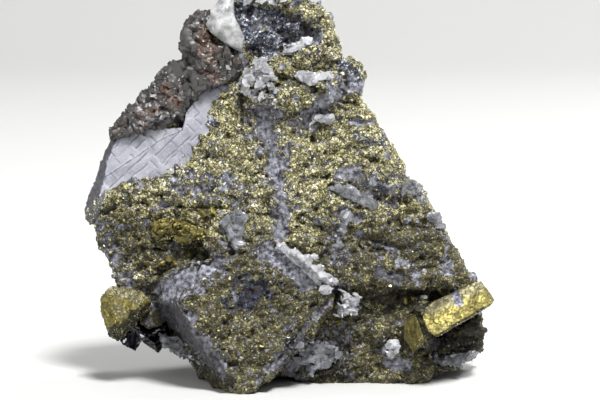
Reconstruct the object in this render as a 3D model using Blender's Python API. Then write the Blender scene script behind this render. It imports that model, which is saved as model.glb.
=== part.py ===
# A hand-size ore specimen: chalcopyrite crusted over galena, with sphalerite, bare galena and calcite.
# It stands on a flat base, with its best side towards -Y. Shapes are worked out in millimetres.
import itertools
import math

import bmesh
import bpy
import numpy as np
from mathutils import Vector, kdtree

MM = 0.001

# Outlines are drawn on a front view that looks slightly down, from VIEW_DISTANCE in front.
VIEW_TILT = math.radians(7.0)
VIEW_DISTANCE = 900.0
VIEW_AIM = (3.0, 54.3)

SEAT_GAP = 0.3           # clearance round each piece in its seat
ROCK_VOXEL = 0.7         # grain of the mesh in which the rock's blocks are fused
SKIN_VOXEL = 1.3         # grain of the mesh on which the small crystals are set
ROCK_TRIANGLES = 3500
SPHALERITE_TRIANGLES = 420
ROCK_CRYSTALS = (4.8, 2.2, 3.2)         # spacing, least and greatest reach of the crystals
SPHALERITE_CRYSTALS = (4.0, 1.8, 2.6)
BACK_TURN = 0.2          # crystals grow only where the surface faces back less than this
BASE_LEVEL = 0.0

# Each face is (depth at the view's origin, change of depth per mm across, and per mm up).
LEFT_FACE = (-24.7, -0.22, 0.20)
RIGHT_FACE = (-23.3, 0.22, 0.20)
LOWER_RIGHT_FACE = (-18.1, 0.20, 0.10)
CUBE_FACE = (-22.0, 0.10, 0.20)


def seen(across, up, depth):
    """A point of the front view, given its depth, in the specimen's own frame."""
    away = depth - (up - VIEW_AIM[1]) * math.sin(VIEW_TILT)
    spread = 1 + away / VIEW_DISTANCE
    x = VIEW_AIM[0] + (across - VIEW_AIM[0]) * spread
    rise = (up - VIEW_AIM[1]) * spread
    z = VIEW_AIM[1] + (rise - depth * math.sin(VIEW_TILT)) / math.cos(VIEW_TILT)
    return Vector((x, depth, z))


def face_depth(face, across, up):
    return face[0] + face[1] * across + face[2] * up


def slab(outline, face, back, shrink=0.9, rim=()):
    """A block with a flat front face, which narrows to its back; rim adds points on its sides."""
    middle_across = sum(point[0] for point in outline) / len(outline)
    middle_up = sum(point[1] for point in outline) / len(outline)
    points = []
    for across, up in outline:
        points.append(seen(across, up, face_depth(face, across, up)))
        back_across = middle_across + (across - middle_across) * shrink
        back_up = middle_up + (up - middle_up) * shrink
        points.append(seen(back_across, back_up, back))
    return points + [seen(*point) for point in rim]


def boulder(middle, radii, seed, corners=22):
    """A rough lump: the hull of points thrown on an ellipsoid."""
    random = np.random.default_rng(seed)
    spots = random.normal(size=(corners, 3))
    spots /= np.linalg.norm(spots, axis=1)[:, None]
    centre = seen(*middle)
    return [centre + Vector(spot * radii) for spot in spots]


def turned(random):
    """A random direction, as a rotation matrix."""
    basis, _ = np.linalg.qr(random.normal(size=(3, 3)))
    if np.linalg.det(basis) < 0:
        basis[:, 0] = -basis[:, 0]
    return basis


def add_hull(work, points):
    """Adds the convex hull of some points to a bmesh."""
    corners = [work.verts.new(point) for point in points]
    made = bmesh.ops.convex_hull(work, input=corners, use_existing_faces=False)
    spare = set(made["geom_interior"]) | set(made["geom_unused"])
    loose = [item for item in spare if isinstance(item, bmesh.types.BMVert) and item.is_valid]
    bmesh.ops.delete(work, geom=loose, context="VERTS")


def grown(points, gap):
    """The same convex shape with each of its faces moved out by the gap."""
    hull = bmesh.new()
    add_hull(hull, points)
    bmesh.ops.recalc_face_normals(hull, faces=hull.faces)
    facing = [face.normal for face in hull.faces if face.calc_area() > 1e-4]
    normals = np.unique(np.round(np.array(facing), 4), axis=0)
    hull.free()
    reach = (normals @ np.array(points).T).max(axis=1) + gap
    # Each corner is where three faces meet, inside all of the others.
    triples = np.array(list(itertools.combinations(range(len(normals)), 3)))
    triples = triples[np.abs(np.linalg.det(normals[triples])) > 1e-3]
    corners = np.linalg.solve(normals[triples], reach[triples][..., None])[..., 0]
    inside = (corners @ normals.T <= reach + 1e-3).all(axis=1)
    return [Vector(corner) for corner in np.unique(np.round(corners[inside], 2), axis=0)]


def hulls_mesh(name, shapes):
    """One mesh that holds the convex hull of each list of points."""
    work = bmesh.new()
    for points in shapes:
        add_hull(work, [point * MM for point in points])
    bmesh.ops.recalc_face_normals(work, faces=work.faces)
    mesh = bpy.data.meshes.new(name)
    work.to_mesh(mesh)
    work.free()
    return mesh


def new_object(name, mesh):
    obj = bpy.data.objects.new(name, mesh)
    bpy.context.scene.collection.objects.link(obj)
    return obj


def settle(obj):
    """Makes what the object's modifiers give its own mesh."""
    bpy.context.view_layer.update()
    graph = bpy.context.evaluated_depsgraph_get()
    mesh = bpy.data.meshes.new_from_object(obj.evaluated_get(graph))
    obj.modifiers.clear()
    obj.data = mesh
    return obj


def voxel_remesh(obj, voxel):
    remesh = obj.modifiers.new("Fuse", "REMESH")
    remesh.mode = "VOXEL"
    remesh.voxel_size = voxel * MM
    return settle(obj)


def fuse(obj, voxel, triangles):
    """Fuses overlapping closed shapes into one skin, then thins it to about that many triangles."""
    voxel_remesh(obj, voxel)
    thin = obj.modifiers.new("Thin", "DECIMATE")
    thin.ratio = triangles / (2 * len(obj.data.polygons))
    return settle(obj)


def combine(obj, other, operation):
    """A Boolean with another object, which is then removed."""
    step = obj.modifiers.new(operation.title(), "BOOLEAN")
    step.operation = operation
    step.solver = "EXACT"
    step.object = other
    settle(obj)
    bpy.data.objects.remove(other)
    return obj


def united(name, shapes):
    """The exact union of convex shapes."""
    obj = new_object(name, hulls_mesh(name, shapes[:1]))
    for points in shapes[1:]:
        combine(obj, new_object("addition", hulls_mesh("addition", [points])), "UNION")
    return obj


def cut_seat(obj, shapes, opening=None):
    """Cuts room for another piece, given as convex shapes; opening also clears the way in front of it."""
    for points in shapes:
        points = grown(points, SEAT_GAP)
        if opening:
            points = points + [point + opening for point in points]
        combine(obj, new_object("seat", hulls_mesh("seat", [points])), "DIFFERENCE")


def cut_base(obj):
    """Cuts the object off flat at the level it stands on."""
    reach = 100.0
    corners = [
        Vector((x, y, z)) for x in (-reach, reach) for y in (-reach, reach)
        for z in (BASE_LEVEL - reach, BASE_LEVEL)
    ]
    combine(obj, new_object("ground", hulls_mesh("ground", [corners])), "DIFFERENCE")


def keep_main_body(obj):
    """Drops slivers that the cuts left loose."""
    work = bmesh.new()
    work.from_mesh(obj.data)
    bodies = []
    unseen = set(work.verts)
    while unseen:
        body = set()
        frontier = {unseen.pop()}
        while frontier:
            vertex = frontier.pop()
            body.add(vertex)
            frontier.update(edge.other_vert(vertex) for edge in vertex.link_edges)
            frontier -= body
        unseen -= body
        bodies.append(body)
    main_body = max(bodies, key=len)
    loose = [vertex for vertex in work.verts if vertex not in main_body]
    bmesh.ops.delete(work, geom=loose, context="VERTS")
    bmesh.ops.dissolve_limit(
        work, angle_limit=math.radians(0.5), verts=work.verts, edges=work.edges
    )
    bmesh.ops.triangulate(work, faces=work.faces)
    work.to_mesh(obj.data)
    work.free()


def material(name, colour, roughness, metallic):
    made = bpy.data.materials.new(name)
    made.use_nodes = True
    shader = made.node_tree.nodes["Principled BSDF"]
    shader.inputs["Base Color"].default_value = (*colour, 1.0)
    shader.inputs["Roughness"].default_value = roughness
    shader.inputs["Metallic"].default_value = metallic
    return made


# The rock


def rock_blocks():
    """The rock's main masses, as far as the front view shows them."""
    blocks = []
    # Upper left face, down to its lip over the waist
    blocks.append(slab(
        [(-15, 90), (-3, 86), (-2, 50), (-10, 48.5), (-24, 51), (-39, 51.5), (-52, 52.5), (-56.5, 54),
         (-56, 60), (-53, 69), (-49, 76), (-42, 83), (-35, 88)],
        LEFT_FACE, back=22, shrink=0.86,
        rim=[(-60, 49, 6), (-58, 60, 10), (-55, 68, 11), (-50, 76, 11)],
    ))
    # Saddle between the upper faces and the lower cube
    blocks.append(slab(
        [(-23, 49), (-14, 52.5), (-2, 53), (1, 44), (-4, 39), (-9, 42), (-19, 36), (-25, 40)],
        (-12.8, 0.04, 0.0), back=12,
    ))
    # Heart of the rock, behind all of its faces
    blocks.append(slab(
        [(-48, 48), (-46, 70), (-26, 93), (-14, 108), (6, 108), (17, 92), (28, 70), (40, 48), (48, 26),
         (46, 8), (34, 2), (4, 2), (-18, 5), (-32, 22)],
        (4.0, 0.0, 0.0), back=24, shrink=0.8,
    ))
    # Upper right face, which ends in a straight sharp edge
    blocks.append(slab(
        [(-3, 86), (6, 86), (20, 86), (23, 82.5), (29.5, 73), (35, 64), (33, 60), (20, 61),
         (10, 60), (-2, 50)],
        RIGHT_FACE, back=20, shrink=0.9,
        rim=[(23.4, 82.4, 4), (34.8, 63, 4)],
    ))
    # Lower right face, under the hollow
    blocks.append(slab(
        [(-2, 50), (10, 58), (19, 55), (30, 54), (37, 60.5), (38.8, 56), (41, 51.5), (45.5, 46.5),
         (48.5, 41), (50.5, 36.5), (53, 32), (49, 27.5), (40, 28), (26, 27.5), (13, 28), (0, 40)],
        LOWER_RIGHT_FACE, back=20, shrink=0.9,
        rim=[(38.5, 60.5, 3), (46.5, 46, 3), (54, 32, 3)],
    ))
    # The lower cube: its front face, its flank and its rounded foot
    blocks.append([
        seen(across, up, face_depth(CUBE_FACE, across, up) + away)
        + Vector((-0.10 * away, 0, -0.20 * away))
        for across, up in [
            (-35.5, 23.8), (-27, 30.5), (-19, 37.5), (-9, 43), (0, 37.5), (8, 31), (14, 26.5),
            (12.5, 23), (4, 12.5), (-5, 3.0), (-10.5, -2.2), (-14.5, -3.4), (-18, -2.4),
            (-21, 0.6), (-23.4, 5.6),
        ]
        for away in (0, 26)
    ])
    # Bare galena beside the cube's upper left edge
    blocks.append(slab(
        [(-39, 24), (-38, 31), (-30, 36.5), (-20, 37.5), (-17, 34), (-28, 26), (-34, 22)],
        (-15.5, 0.0, 0.02), back=10,
    ))
    # Waist under the left lip
    blocks.append(slab(
        [(-60, 49.5), (-58, 45.5), (-54, 42), (-52.7, 36), (-52, 31), (-48, 22), (-42, 17), (-35, 20),
         (-24, 34), (-16, 48), (-24, 51), (-39, 52)],
        (-11.0, -0.17, 0.0), back=20, shrink=0.85,
    ))
    # Lower right mass, set back under the right face
    blocks.append(slab(
        [(4, 27), (14, 29), (30, 29), (41, 27), (38.5, 12), (43, 2), (38, -0.4), (30, -1.6),
         (22, -1.0), (15, 1.6), (9, 1.0), (2, 0.6), (-4, 3)],
        (-6.2, 0.0, 0.08), back=24, shrink=0.92,
    ))
    # Dark mass at the right foot
    blocks.append(slab(
        [(40, 26), (52, 26), (57.5, 20), (58.3, 14), (57.3, 8.5), (50, 5.5), (43, 2), (38, 1.5)],
        (1.0, 0.0, 0.05), back=22, shrink=0.86,
    ))
    # Summit, behind the dark hollow
    blocks.append(slab(
        [(-18, 113), (-12, 117), (-4, 118), (4, 116.5), (9, 112), (12.3, 108), (13, 101), (14.5, 97),
         (19, 92), (10, 84), (-10, 84), (-24, 92), (-28, 103)],
        (3.0, 0.0, 0.0), back=18, shrink=0.82,
    ))
    # Crusted rim right of the hollow, and over it
    blocks += [
        boulder((10.4, 103.4, 1.5), (3.6, 6, 7.2), seed=11),
        boulder((7.6, 110.4, 2.5), (4.6, 6, 3.8), seed=12),
        boulder((-3.5, 114.6, 3.5), (9.5, 5, 3.4), seed=13),
        boulder((-12.0, 113.6, 4), (5.5, 5, 4.0), seed=14),
        boulder((2.0, 107.6, 3.0), (4.0, 4, 2.6), seed=15),
    ]
    # Crusted ledges over the right face
    blocks.append(slab(
        [(-6.5, 97), (1, 97.5), (3, 94), (1.5, 89.5), (-2, 87.8), (-5.5, 90)],
        (-5.0, 0.0, 0.03), back=8,
    ))
    blocks.append(slab(
        [(1, 96), (9, 100.5), (14.5, 98.2), (16.5, 95), (12, 91.5), (5, 92.5), (2, 93.5)],
        (-5.2, 0.05, 0.02), back=8,
    ))
    blocks.append(slab(
        [(-8, 87.8), (2, 87.6), (9, 90), (14.5, 91.5), (14.5, 85), (7, 81), (-3, 80.6), (-9, 83.5)],
        (-14.0, 0.04, 0.05), back=8,
    ))
    blocks.append(slab(
        [(14.5, 97), (18, 96), (21, 93), (22.2, 91), (21.6, 86.5), (21, 83), (15, 84), (13.5, 90)],
        (-3.0, 0.05, 0.0), back=10,
    ))
    return blocks


def back_boulders():
    """Broken masses behind the faces, which no outline of the front view shows."""
    return [
        boulder((-30, 66, 17), (22, 14, 20), seed=3),
        boulder((12, 66, 18), (17.5, 13, 21), seed=4),
        boulder((-6, 88, 12), (16, 9, 14), seed=5),
        boulder((30, 36, 20), (19, 13, 19), seed=6),
        boulder((-6, 36, 24), (24, 13, 24), seed=7),
        boulder((8, 12, 22), (27, 15, 14), seed=8),
        boulder((44, 18, 14), (11, 11, 13), seed=9),
        boulder((-36, 38, 12), (15, 12, 15), seed=10),
    ]


# Stretches of bare galena, as (across, up, across, up, half width): no small crystals grow there.
BARE_STRIPS = [
    (-36, 27, -24, 35, 4.0),
    (-20, 44, 0, 30, 2.6),
    (-34, 20, -22, 5, 3.5),
]


def strip_distance(across, up, strip):
    start = Vector(strip[:2])
    run = Vector(strip[2:4]) - start
    point = Vector((across, up)) - start
    share = min(max(point.dot(run) / run.length_squared, 0), 1)
    return (point - run * share).length - strip[4]


def small_crystals(surface, pitch, low, high, seed, sunk=0.5):
    """Stubby eight-faced crystals, half sunk in a surface, about a pitch apart."""
    random = np.random.default_rng(seed)
    count = len(surface.vertices)
    spots = np.empty(count * 3)
    surface.vertices.foreach_get("co", spots)
    spots = spots.reshape(-1, 3) / MM
    normals = np.empty(count * 3)
    surface.vertex_normals.foreach_get("vector", normals)
    normals = normals.reshape(-1, 3)
    tree = kdtree.KDTree(count)
    for index, spot in enumerate(spots):
        tree.insert(spot, index)
    tree.balance()
    free = np.ones(count, bool)
    shapes = []
    for index in random.permutation(count):
        if not free[index]:
            continue
        for _, near, _ in tree.find_range(spots[index], pitch):
            free[near] = False
        x, y, z = spots[index]
        bare = any(strip_distance(x, z, strip) < 0 for strip in BARE_STRIPS)
        if normals[index][1] > BACK_TURN or bare:
            continue
        reach = random.uniform(low, high)
        basis = turned(random) * (reach * random.uniform(0.75, 1.2, size=3))
        centre = spots[index] - normals[index] * reach * sunk
        shapes.append([Vector(centre + side * basis[:, axis]) for axis in range(3) for side in (-1, 1)])
    return shapes


def crusted(name, blocks, triangles, crystal_sizes, seed):
    """Fused blocks with small crystals grown over them."""
    skin = voxel_remesh(new_object("skin", hulls_mesh("skin", blocks)), SKIN_VOXEL)
    crystals = small_crystals(skin.data, *crystal_sizes, seed)
    bpy.data.objects.remove(skin)
    obj = new_object(name, hulls_mesh(name, blocks + crystals))
    return fuse(obj, ROCK_VOXEL, triangles)


# The bare galena block, cleaved in steps


def galena_block_shapes():
    high = (LEFT_FACE[0] + 0.9, *LEFT_FACE[1:])
    low = (LEFT_FACE[0] + 1.6, *LEFT_FACE[1:])
    return [
        slab([(-57.8, 53.4), (-53.4, 55.4), (-48, 57.4), (-41, 58.8), (-37, 61.6), (-31.6, 64.8),
              (-27.4, 70), (-31.4, 76), (-37.5, 73.5), (-46, 67), (-55.6, 61.4)],
             high, back=5, shrink=0.96,
             rim=[(-61.8, 50.8, 6), (-60.6, 56.4, 7), (-58.6, 60.6, 8), (-60, 47, 3)]),
        slab([(-56, 60), (-46, 66.4), (-37, 73), (-32, 76.4), (-38.4, 75.6), (-47.5, 76.2), (-51.6, 73.6),
              (-54.6, 67)],
             low, back=7, shrink=0.96, rim=[(-58.4, 61, 8), (-56.4, 67.6, 9), (-52.4, 75.6, 9)]),
        slab([(-28.6, 69), (-25.6, 73.6), (-22.6, 77.4), (-19.4, 83), (-17, 88.6), (-22, 89.8), (-27.4, 86),
              (-31.2, 81), (-32.2, 76), (-31, 72)],
             high, back=6, shrink=0.96),
    ]


# The sphalerite mass at the upper left


def sphalerite_blocks():
    proud = (LEFT_FACE[0] - 0.6, *LEFT_FACE[1:])
    return [
        slab([(-54, 72.6), (-53, 76), (-48, 81), (-42, 87), (-38, 86), (-34, 80), (-37, 77.5),
              (-43, 80.5), (-48, 77.5)],
             proud, back=14, shrink=0.85, rim=[(-54, 75, 9), (-43, 88, 10)]),
        slab([(-42, 86), (-41, 89.5), (-38.7, 92.7), (-33.8, 96.8), (-24, 97.5), (-23.5, 92),
              (-29, 85.5), (-32, 79), (-38, 78.4)],
             (-23.2, -0.24, 0.18), back=14, shrink=0.85),
        slab([(-31, 86), (-29, 96), (-24.5, 100.5), (-20, 101), (-14.5, 96), (-15.5, 91.5),
              (-24.5, 90.2)],
             (-19.5, -0.10, 0.14), back=10, shrink=0.85),
        boulder((-28.4, 102.6, 4), (5.2, 7, 7.2), seed=21, corners=26),
        boulder((-26, 107.6, 5), (4.6, 6, 4.0), seed=22, corners=26),
    ]


# Crystals of chalcopyrite


def chalcopyrite_left():
    return [[
        seen(-56.6, 26.4, -5), seen(-57, 21.4, -5), seen(-54.6, 16.6, -9), seen(-50.6, 16.4, -13),
        seen(-41.6, 24.2, -14), seen(-45, 27.6, -9), seen(-53.2, 29.2, -3), seen(-51.6, 12.4, -5),
        seen(-54.2, 13.6, -3), seen(-48, 15.6, -5), seen(-41.4, 22.4, -5), seen(-50, 17, 6),
        seen(-45, 25, 6), seen(-53, 25, 5),
    ]]


def chalcopyrite_right():
    return [[
        seen(39.6, 19.6, -14), seen(42.3, 23.7, -10), seen(46.5, 25.2, -9), seen(55.5, 30, -7),
        seen(57.4, 30.3, -6), seen(61.6, 24.7, -6), seen(60.2, 23.2, -9), seen(51.6, 18.9, -15),
        seen(43.8, 13.6, -19), seen(41.4, 15.2, -18), seen(46, 15.5, 3), seen(57.5, 21.5, 4),
        seen(56, 28.5, 5), seen(44, 24, 5),
    ]]


def chalcopyrite_inner():
    return [[
        seen(34.2, 19, -9), seen(37.8, 20.3, -12), seen(40.2, 12.4, -16), seen(39, 10.6, -15),
        seen(36.9, 8.8, -13), seen(34.2, 13.2, -10), seen(35.5, 18, 0), seen(37.5, 18, -2),
        seen(38.5, 11, -4),
    ]]


def chalcopyrite_middle():
    left = [(-41.4, 47.4), (-39, 48.9), (-35.4, 49.8), (-32.0, 48), (-31, 45.3), (-33.6, 43.5),
            (-37.2, 42.5), (-39.9, 42.3), (-41.6, 44.4)]
    middle = [(-33.4, 49), (-29.4, 47.2), (-25.6, 45.6), (-24.4, 43), (-25.8, 41.1), (-29.1, 40.4),
              (-32.4, 40.4), (-34.4, 42.9)]
    right = [(-26.4, 45.0), (-24.3, 45.7), (-21.6, 44.8), (-18.6, 42.4), (-18.2, 40.1), (-21, 39.8),
             (-24, 41.2), (-26.4, 42.6)]
    return [
        slab(left, (-13.2, -0.16, 0), back=3, shrink=0.9, rim=[(-37, 46.4, -9.6), (-34, 48, -9.8)]),
        slab(middle, (-13.6, -0.16, 0), back=3, shrink=0.9,
             rim=[(-31, 46.6, -11.6), (-27, 43.2, -12.2)]),
        slab(right, (-13.8, -0.16, 0), back=3, shrink=0.9, rim=[(-21.6, 42.6, -12.6)]),
    ]


# Crystals of calcite


def rhomb(centre, size, basis):
    """A flattened rhombohedron: two tips and a six-cornered rim that zigzags."""
    length, width, thickness = size
    points = [Vector((0, 0, thickness / 2)), Vector((0, 0, -thickness / 2))]
    for corner in range(6):
        angle = math.radians(60 * corner)
        lift = thickness * (0.14 if corner % 2 else -0.14)
        points.append(Vector((math.cos(angle) * length / 2, math.sin(angle) * width / 2, lift)))
    return [centre + Vector(basis @ np.array(point)) for point in points]


class Cluster:
    """Blades of calcite that grew together on one root, as (across, up, size) and perhaps a depth."""

    def __init__(self, blades, root, seed, depth=-10.0, back=0.0, lie=0.6):
        self.blades = blades
        self.root = [seen(across, up, out) for across, up in root for out in (depth - 0.2, back)]
        self.seed = seed
        self.depth = depth
        self.lie = lie      # how much each blade lies along the front, from 0 to 1

    def shapes(self):
        random = np.random.default_rng(self.seed)
        front = np.array([(1, 0, 0), (0, 0, -1), (0, 1, 0)], float)
        shapes = [self.root]
        for blade in self.blades:
            across, up, size = blade[:3]
            depth = blade[3] if len(blade) > 3 else self.depth
            basis, _ = np.linalg.qr(front * self.lie + turned(random) * (1 - self.lie))
            if np.linalg.det(basis) < 0:
                basis[:, 0] = -basis[:, 0]
            sizes = np.array((size, size * 0.8, size * 0.5)) * random.uniform(0.9, 1.15, size=3)
            shapes.append(rhomb(seen(across, up, depth), sizes, basis))
        return shapes


def summit_crystal():
    return [
        [
            seen(-25.6, 107.2, 0), seen(-24, 104.8, -1), seen(-19, 101, -2.5), seen(-14.4, 98.6, -1),
            seen(-13.4, 103.4, -1), seen(-15.4, 107.6, -3), seen(-17, 110.4, -2.5),
            seen(-23.6, 111.4, -1), seen(-20, 106, -4), seen(-23, 108, 8), seen(-16, 101, 7),
            seen(-17, 109, 8),
        ],
        [
            seen(-23.6, 111.8, -1), seen(-21.4, 114.4, 0), seen(-18.6, 118.4, 2),
            seen(-16.8, 116.6, 1), seen(-16.6, 110, -2.5), seen(-22, 109, -1), seen(-19, 112, -3),
            seen(-20.5, 115, 7), seen(-17, 112, 8), seen(-21, 110, 8),
        ],
    ]


def calcite_clusters():
    """Each group of calcite that grew together, by name."""
    return {
        "calcite_cluster_upper": Cluster(
            [(-9.0, 95.2, 7.4), (-6.4, 92.0, 6.4), (-12.4, 91.8, 6.6), (-9.0, 89.2, 7), (-13.4, 88.2, 5),
             (-5.6, 88.6, 5), (-10.6, 85.6, 4.6), (-7.6, 85.0, 4.8)],
            [(-14.5, 87), (-14, 93), (-9, 95.5), (-6, 91), (-8, 85)],
            seed=31, depth=-9.0, back=-1.0, lie=0.4),
        "calcite_plate_upper": Cluster(
            [(3.6, 91.6, 5.0), (7.2, 90.4, 7.6), (11.0, 91.6, 4.4)],
            [(2.5, 91.0), (4, 93.4), (12, 92.6), (12, 90.5), (7, 88.4)],
            seed=32, depth=-9.0, back=-1.0, lie=0.85),
        "calcite_wedge_summit": Cluster(
            [(1.6, 100.2, 4.4), (4.4, 101.8, 5.2), (-0.6, 99.0, 3.6)],
            [(-0.6, 98.6), (2.4, 102), (6, 103.4), (5.4, 99.6), (1.2, 98)],
            seed=45, depth=-2.6, back=4.0, lie=0.8),
        "calcite_flake_right": Cluster(
            [(8.2, 79.2, 4.6), (11.8, 79.0, 4.6)],
            [(7, 77.8), (7.4, 80.4), (12.6, 80.4), (12.8, 78.2)],
            seed=33, depth=-6.4, back=0.0, lie=0.85),
        "calcite_vein_left": Cluster(
            [(-14.8, 49.6, 5.4), (-18.6, 47.6, 5.6), (-17.2, 44.0, 4.6), (-15.6, 41.2, 4.8)],
            [(-20.4, 48), (-15, 50.6), (-13.6, 49.4), (-14.6, 39.2), (-17.6, 43)],
            seed=35, depth=-14.2, back=-5.0, lie=0.85),
        "calcite_ribbon": Cluster(
            [(-2.6, 40.4, 4.6, -15.2), (1.4, 38.6, 5.0, -16.0), (4.6, 36.8, 5.6, -16.6),
             (7.4, 37.4, 3.4, -16.4), (8.2, 33.8, 6.0, -16.8), (10.8, 31.4, 5.4, -16.8),
             (13.0, 30.2, 3.4, -16.4), (10.6, 27.8, 4.6, -17.2)],
            [(-4, 40.4), (-2, 41.8), (12, 31.4), (10.4, 27.6)],
            seed=36, depth=-16.2, back=-8.0, lie=0.85),
        "calcite_rosette": Cluster(
            [(17, 23.6, 5), (19.6, 24.6, 4.6), (18.8, 21.4, 5), (15.8, 21.2, 4.4), (17.2, 26, 4)],
            [(15, 22), (17, 26), (20, 24.6), (18, 21)],
            seed=37, depth=-10.4, back=-3.0, lie=0.2),
        "calcite_hollow_crystals": Cluster(
            [(13.8, 58, 5), (17, 57.4, 4.6), (24.2, 53.8, 4.6), (21.4, 56, 3.6)],
            [(12.6, 57), (17.6, 59.4), (25.2, 54.6), (23, 52.6)],
            seed=38, depth=-9.4, back=0.0, lie=0.6),
        "calcite_streak_right": Cluster(
            [(17.0, 50.0, 5.0, -9.8), (15.6, 45.4, 3.6, -10.4), (14.2, 41.0, 4.0, -10.8)],
            [(16.4, 51.6), (18.2, 50.6), (14.8, 39.4), (13.4, 40)],
            seed=46, depth=-10.2, back=-4.0, lie=0.9),
        "calcite_edge_chip": Cluster(
            [(43.2, 49.4, 5.4, -4.4), (45, 46.8, 4.4, -3.6)],
            [(41.4, 51), (44, 50.4), (46.6, 46), (44, 46)],
            seed=39, depth=-4.4, back=4.0, lie=0.8),
        "calcite_edge_knob": Cluster(
            [(37.2, 59.4, 5, -5), (38.4, 57, 4.6, -4.6), (34.4, 57.8, 4, -6.6)],
            [(34, 57), (36, 60.6), (38.6, 59.6), (38.6, 56)],
            seed=40, depth=-5.2, back=3.0, lie=0.4),
        "calcite_cluster_base": Cluster(
            [(3.6, 10.4, 5), (7.4, 11.6, 4.6), (11.6, 10.4, 5), (2.6, 6.2, 4.6), (6.6, 7, 5.4),
             (10.8, 6, 5), (14, 8.4, 4.2), (6.6, 3.6, 4.2)],
            [(1.6, 7), (4, 11.5), (13.5, 11), (13, 6), (7, 3.4)],
            seed=41, depth=-8.4, back=-1.0, lie=0.35),
        "calcite_crystal_lower_right": Cluster(
            [(31.2, 11.2, 5.6), (30.4, 8.8, 3.8)],
            [(29.4, 9), (30, 12), (33, 12), (31, 8.6)],
            seed=42, depth=-7.6, back=-2.0, lie=0.7),
        "calcite_left_foot": Cluster(
            [(-36, 11.4, 6.0, -5), (-32.6, 9.6, 5.4, -4), (-37.6, 13, 4, -4)],
            [(-38, 13.4), (-34, 14), (-28, 9), (-31, 7.6), (-36, 10)],
            seed=43, depth=-4.6, back=8.0, lie=0.4),
        "calcite_right_foot": Cluster(
            [(46.4, 6.4, 5, -0.4), (50, 6.8, 5.4, -0.2), (54, 8.0, 4.6, 0), (43.4, 7.6, 4, -0.6)],
            [(43, 7.4), (55.6, 9.6), (55, 7), (49, 5.2), (45, 5.4)],
            seed=44, depth=-0.2, back=9.0, lie=0.4),
    }


# Dark, shiny galena cubes at the left foot, behind the chalcopyrite


def dark_cubes():
    random = np.random.default_rng(51)
    spots = [(-44, 17, 7.0, 2), (-47.6, 13.8, 5.4, 5), (-40.4, 14.2, 6.4, 4), (-38.6, 17.6, 6.6, 6)]
    shapes = []
    for across, up, size, depth in spots:
        basis = turned(random) * size / 2
        centre = seen(across, up, depth)
        corners = [np.array((x, y, z)) for x in (-1, 1) for y in (-1, 1) for z in (-1, 1)]
        shapes.append([centre + Vector(basis @ corner) for corner in corners])
    root = [(-47, 14), (-45, 18.6), (-37, 19), (-38, 14)]
    shapes.append([seen(across, up, depth) for across, up in root for depth in (4, 10)])
    return shapes


def centre_on_base(objects):
    """Puts the specimen's middle over the origin, with its base at zero."""
    corners = np.array([vertex.co for obj in objects for vertex in obj.data.vertices])
    low = corners.min(axis=0)
    high = corners.max(axis=0)
    shift = Vector((-(low[0] + high[0]) / 2, -(low[1] + high[1]) / 2, -low[2]))
    for obj in objects:
        for vertex in obj.data.vertices:
            vertex.co += shift
        obj.data.update()
    print("shift in mm:", [round(value / MM, 2) for value in shift])


def main():
    for obj in list(bpy.data.objects):
        bpy.data.objects.remove(obj)

    crust = material("chalcopyrite crust", (0.30, 0.27, 0.16), 0.45, 0.7)
    brass = material("chalcopyrite", (0.45, 0.38, 0.14), 0.35, 0.9)
    lead = material("galena", (0.45, 0.45, 0.50), 0.35, 0.85)
    dark_lead = material("dark galena", (0.05, 0.05, 0.06), 0.15, 0.6)
    blende = material("sphalerite", (0.09, 0.07, 0.06), 0.35, 0.1)
    spar = material("calcite", (0.72, 0.72, 0.71), 0.35, 0.0)

    rock = crusted("crusted_rock", rock_blocks() + back_boulders(), ROCK_TRIANGLES,
                   ROCK_CRYSTALS, seed=1)
    sphalerite = crusted("sphalerite_mass", sphalerite_blocks(), SPHALERITE_TRIANGLES,
                         SPHALERITE_CRYSTALS, seed=2)
    galena = united("galena_cleavage_block", galena_block_shapes())
    rock.data.materials.append(crust)
    sphalerite.data.materials.append(blende)
    galena.data.materials.append(lead)

    lone_crystals = {
        "chalcopyrite_crystal_left": (chalcopyrite_left(), brass),
        "chalcopyrite_crystal_right": (chalcopyrite_right(), brass),
        "chalcopyrite_crystal_inner": (chalcopyrite_inner(), brass),
        "chalcopyrite_lumps_middle": (chalcopyrite_middle(), brass),
        "galena_cubes_foot": (dark_cubes(), dark_lead),
        "calcite_summit_crystal": (summit_crystal(), spar),
    }
    clusters = calcite_clusters()
    crystals = {}
    for name, (shapes, finish) in lone_crystals.items():
        crystals[name] = united(name, shapes)
        crystals[name].data.materials.append(finish)
    for name, cluster in clusters.items():
        crystals[name] = united(name, cluster.shapes())
        crystals[name].data.materials.append(spar)

    # Where two pieces meet, one makes room for the other.
    cut_seat(crystals["chalcopyrite_crystal_inner"], chalcopyrite_right())
    cut_seat(crystals["galena_cubes_foot"], chalcopyrite_left())
    cut_seat(crystals["galena_cubes_foot"], clusters["calcite_left_foot"].shapes())
    cut_seat(sphalerite, galena_block_shapes())
    cut_seat(sphalerite, summit_crystal())
    cut_seat(sphalerite, clusters["calcite_cluster_upper"].shapes())
    cut_seat(rock, galena_block_shapes(), opening=Vector((-6, -10, 0)))
    for shapes, _ in lone_crystals.values():
        cut_seat(rock, shapes)
    for cluster in clusters.values():
        cut_seat(rock, cluster.shapes())
    seat = sphalerite.copy()
    seat.data = sphalerite.data.copy()
    bpy.context.scene.collection.objects.link(seat)
    # The swollen copy's corners lag behind its faces, so it grows by more than the gap.
    swell = seat.modifiers.new("Swell", "DISPLACE")
    swell.strength = 1.6 * SEAT_GAP * MM
    swell.mid_level = 0.0
    settle(seat)
    combine(rock, seat, "DIFFERENCE")

    cut_base(rock)
    keep_main_body(rock)
    keep_main_body(sphalerite)
    centre_on_base([rock, sphalerite, galena, *crystals.values()])


main()
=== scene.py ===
import math
from functools import partial

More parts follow.
